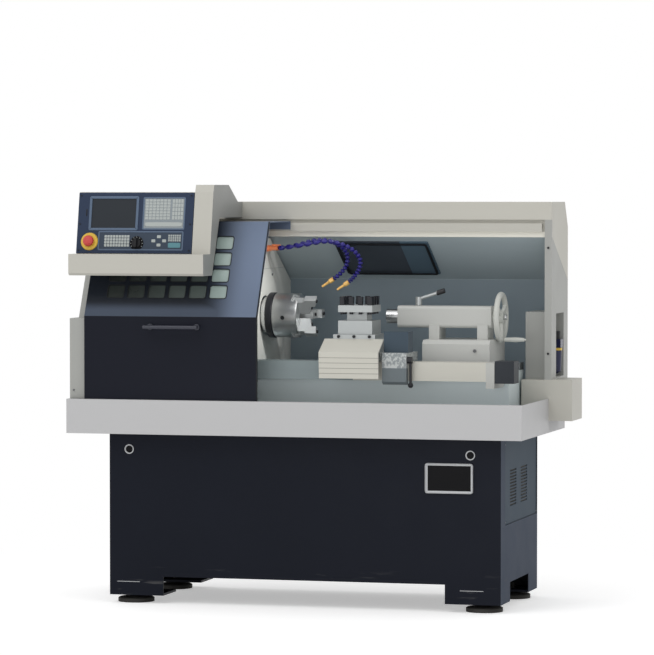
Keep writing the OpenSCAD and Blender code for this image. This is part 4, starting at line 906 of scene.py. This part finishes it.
# Dial: a thin plate under the mode knob with nine pale marks round it.
dial_r, dial_t, dial_edge = 0.0255, 0.0008, 0.0002
mark_count, mark_step, first_mark, mark_r = 9, 30, -120, 0.0215
dial = new_piece(bpy.ops.mesh.primitive_cylinder_add, vertices=48, radius=dial_r, depth=dial_t)
soften(dial, dial_edge)
dial.matrix_world = panel_frame @ Matrix.Translation((knob_u, knob_s, dial_t / 2))
settle(dial, "knob_dial", "frame", "navy_paint", plate_black)
dial_face = panel_frame @ Matrix.Translation((knob_u, knob_s, dial_t))
mark = Matrix.Translation((0, mark_r, 0)) @ Matrix.Diagonal((0.0014, 0.0045, 0.0004, 1))
mark_turns = [math.radians(mark_step * step + first_mark) for step in range(mark_count)]
marks = [dial_face @ Matrix.Rotation(turn, 4, "Z") @ mark for turn in mark_turns]
spread(master_key, marks, "dial_marks", "frame", "panel_film", key_white)

# Panel fixings: six small screws along the panel's ends, and a slim cover over its port.
panel_edge_u, panel_edge_s = (0.009, 0.42), (0.01, 0.105, 0.208)
panel_spots = [panel_frame @ Vector((u, s, 0)) for u in panel_edge_u for s in panel_edge_s]
screws("panel_screws", panel_spots, panel_out, 0.0055, "frame", "black_oxide", black_oxide)
port_low, port_high, port_edge = (0.03, 0.134, 0), (0.034, 0.159, 0.001), 0.0004
trim("port_cover", "frame", "black_plastic", black_plastic, port_low, port_high, port_edge, panel_frame)

# Coolant: two taps on the partition feed poseable hoses of snapped ball links, each
# ending in a round nozzle.
orange_plastic = paint("orange_plastic", linear(244, 142, 92), rough=0.32, peel=0.1)
blue_plastic = paint("blue_plastic", linear(34, 27, 120), rough=0.28, peel=0.1)
amber_plastic = paint("amber_plastic", linear(244, 196, 112), rough=0.32, peel=0.1)
dress(orange_plastic, "coolant_taps", "tap_lever_1", "tap_lever_2")
dress(blue_plastic, "coolant_hoses")
dress(amber_plastic, "coolant_nozzles")

# Feed: the screw runs under a folded steel guard from a slate bracket to its motor.
# The guard is cream, and up to the carriage it is painted a darker grey as painted shade.
carriage_x = sum(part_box("tool_post"), Vector()).x / 2
guard_shade_grey = linear(138, 150, 152)
slate_paint = paint("slate_paint", linear(66, 80, 92), rough=0.42, gloss=0.2)
screw_guard_paint, shade, place = start("screw_guard_paint")
wiped = streaks(shade, place, (3, 40, 40), 4.0)
shaded_guard_part = mottle(shade, guard_shade_grey, 0.92, 1.06, wiped)
cream_part = mottle(shade, cream, 0.9, 0.98, wiped)
# Painted shade: the guard is grey up to the carriage.
base = blend(shade, shaded_guard_part, cream_part, along(shade, place, "X") > carriage_x)
coat(shade, place, base, rough=0.42, peel=0.2, gloss=0.3)
dress(screw_guard_paint, "screw_guard")
dress(slate_paint, "screw_bracket", "chip_shield")
dress(bright_steel, "feed_screw")

# Feed motor: a dark square motor behind the pale bearing block that carries the screw.
block_l = 0.03
block_end_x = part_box("feed_motor")[0].x + block_l
motor_grey = linear(48, 52, 58)
feed_paint, shade, place = start("feed_paint")
cloud = noise(shade, place, 20.0)
pale = mottle(shade, iron_white, 0.86, 0.98, cloud)
dark = mottle(shade, motor_grey, 0.85, 1.1, cloud)
base = blend(shade, pale, dark, along(shade, place, "X") > block_end_x + on_face)
coat(shade, place, base, rough=0.45, peel=0.4, gloss=0.2)
dress(feed_paint, "feed_motor")

# Carriage: a scraped iron saddle, flaked all over, which carries the cross slide, a plain
# grey apron and the four-way tool post.
flake_low, flake_high, flake_scale = linear(146, 152, 154), linear(194, 198, 197), 120.0


def flaking(shade, place):
    """The flakes that a scraper leaves, and the colour that they give the iron."""
    flakes = noise(shade, place, flake_scale, 3.0)
    return flakes, blend(shade, shaded(flake_low), shaded(flake_high), ramp(shade, flakes, 0.42, 0.6))


flaked_iron, shade, place = start("flaked_iron")
flakes, scraped = flaking(shade, place)
close(
    shade,
    0.4,
    base_color=scraped,
    metallic=0.3,
    roughness=0.5 - 0.2 * flakes,
    normal=bumps(shade, flakes, 0.3, 0.0004),
)
dress(flaked_iron, "saddle")
dress(ground_iron, "cross_slide", "post_base", "tool_post")

# Apron: plain grey paint, with its upper face left flaked like the saddle.
apron_grey = linear(108, 117, 121)
flaked_from_z = 0.848
apron_paint, shade, place = start("apron_paint")
flakes, scraped = flaking(shade, place)
plain = mottle(shade, apron_grey, 0.95, 1.05, flakes)
base = blend(shade, plain, scraped, along(shade, place, "Z") > flaked_from_z)
coat(shade, place, base, rough=0.45, peel=0.25, gloss=0.3)
dress(apron_paint, "apron")

# Apron cover: cream sheet in five overlapping leaves, with a darker line of painted shade under each
# leaf's edge.
cover_base, cover_fold, leaves = 0.811, 0.903, 5
leaf_h = (cover_fold - cover_base) / leaves
unshaded_share, unshaded_top = 0.9, 0.004
leaf_paint, shade, place = start("leaf_paint")
height = along(shade, place, "Z")
along_leaf = shade.math("FRACT", (height - cover_base) * (1 / leaf_h), 0)
shade_under_leaf = (along_leaf > unshaded_share) * (height < cover_fold - unshaded_top)
sheet = mottle(shade, cream, 0.92, 1.0, noise(shade, place, 6.0))
base = blend(shade, sheet, shaded(cream, 0.5), shade_under_leaf)
coat(shade, place, base, rough=0.45, peel=0.2, gloss=0.3)
dress(leaf_paint, "apron_cover")
dress(black_oxide, "post_screws", "lock_lever")

# Tailstock: a ground quill in the painted casting, with a pale handwheel and crank.
wheel_paint = paint("wheel_paint", linear(206, 208, 202), rough=0.34)
dress(bright_steel, "quill")
dress(wheel_paint, "handwheel", "crank_grip")

# Quill lever: a bright bar with a black grip on its end.
lever_lean = math.radians(72)
grip_from = 0.07
grip_x = joint_of("quill_lever")["pos_m"][0] + grip_from * math.sin(lever_lean)
lever_grey, grip_black = linear(176, 180, 180), linear(28, 28, 31)
lever_paint, shade, place = start("lever_paint")
smear = noise(shade, place, smear_scale)
on_grip = along(shade, place, "X") > grip_x
bar = mottle(shade, lever_grey, 0.9, 1.05, smear)
close(
    shade,
    0.4,
    base_color=blend(shade, bar, shaded(grip_black), on_grip),
    metallic=0.6 - 0.6 * on_grip,
    roughness=0.3 + 0.1 * smear,
)
dress(lever_paint, "quill_lever")

# Fasteners: bolts along the post base's front, on the tailstock's base, in the wheel's
# hub and on the screw's bracket.
base_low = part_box("post_base")[0]
bolt_pitch, bolt_rise = 0.056, 0.008
base_spots = [
    (carriage_x + x, base_low.y, base_low.z + bolt_rise) for x in (-bolt_pitch, 0, bolt_pitch)
]
screws("post_base_bolts", base_spots, front, 0.011, "cross_slide", "black_oxide", black_oxide)
tail_spot = (0.557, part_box("tail_base")[0].y, 0.904)
screws("tail_bolt", [tail_spot], front, 0.012, "tailstock", "black_oxide", screw_steel)
hub_end = (0.634, spindle_y, spindle_z)
screws("wheel_nut", [hub_end], right, 0.02, "handwheel", "bright_steel", bright_steel)
bracket_low, bracket_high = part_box("screw_bracket")
bracket_x = (bracket_low.x + bracket_high.x) / 2
bracket_in = 0.014
bracket_spots = [
    (bracket_x, bracket_low.y, z) for z in (bracket_low.z + bracket_in, bracket_high.z - bracket_in)
]
screws("bracket_screws", bracket_spots, front, 0.008, "frame", "ground_iron", rim_steel)

bpy.data.objects.remove(master_screw)
bpy.data.objects.remove(master_key)
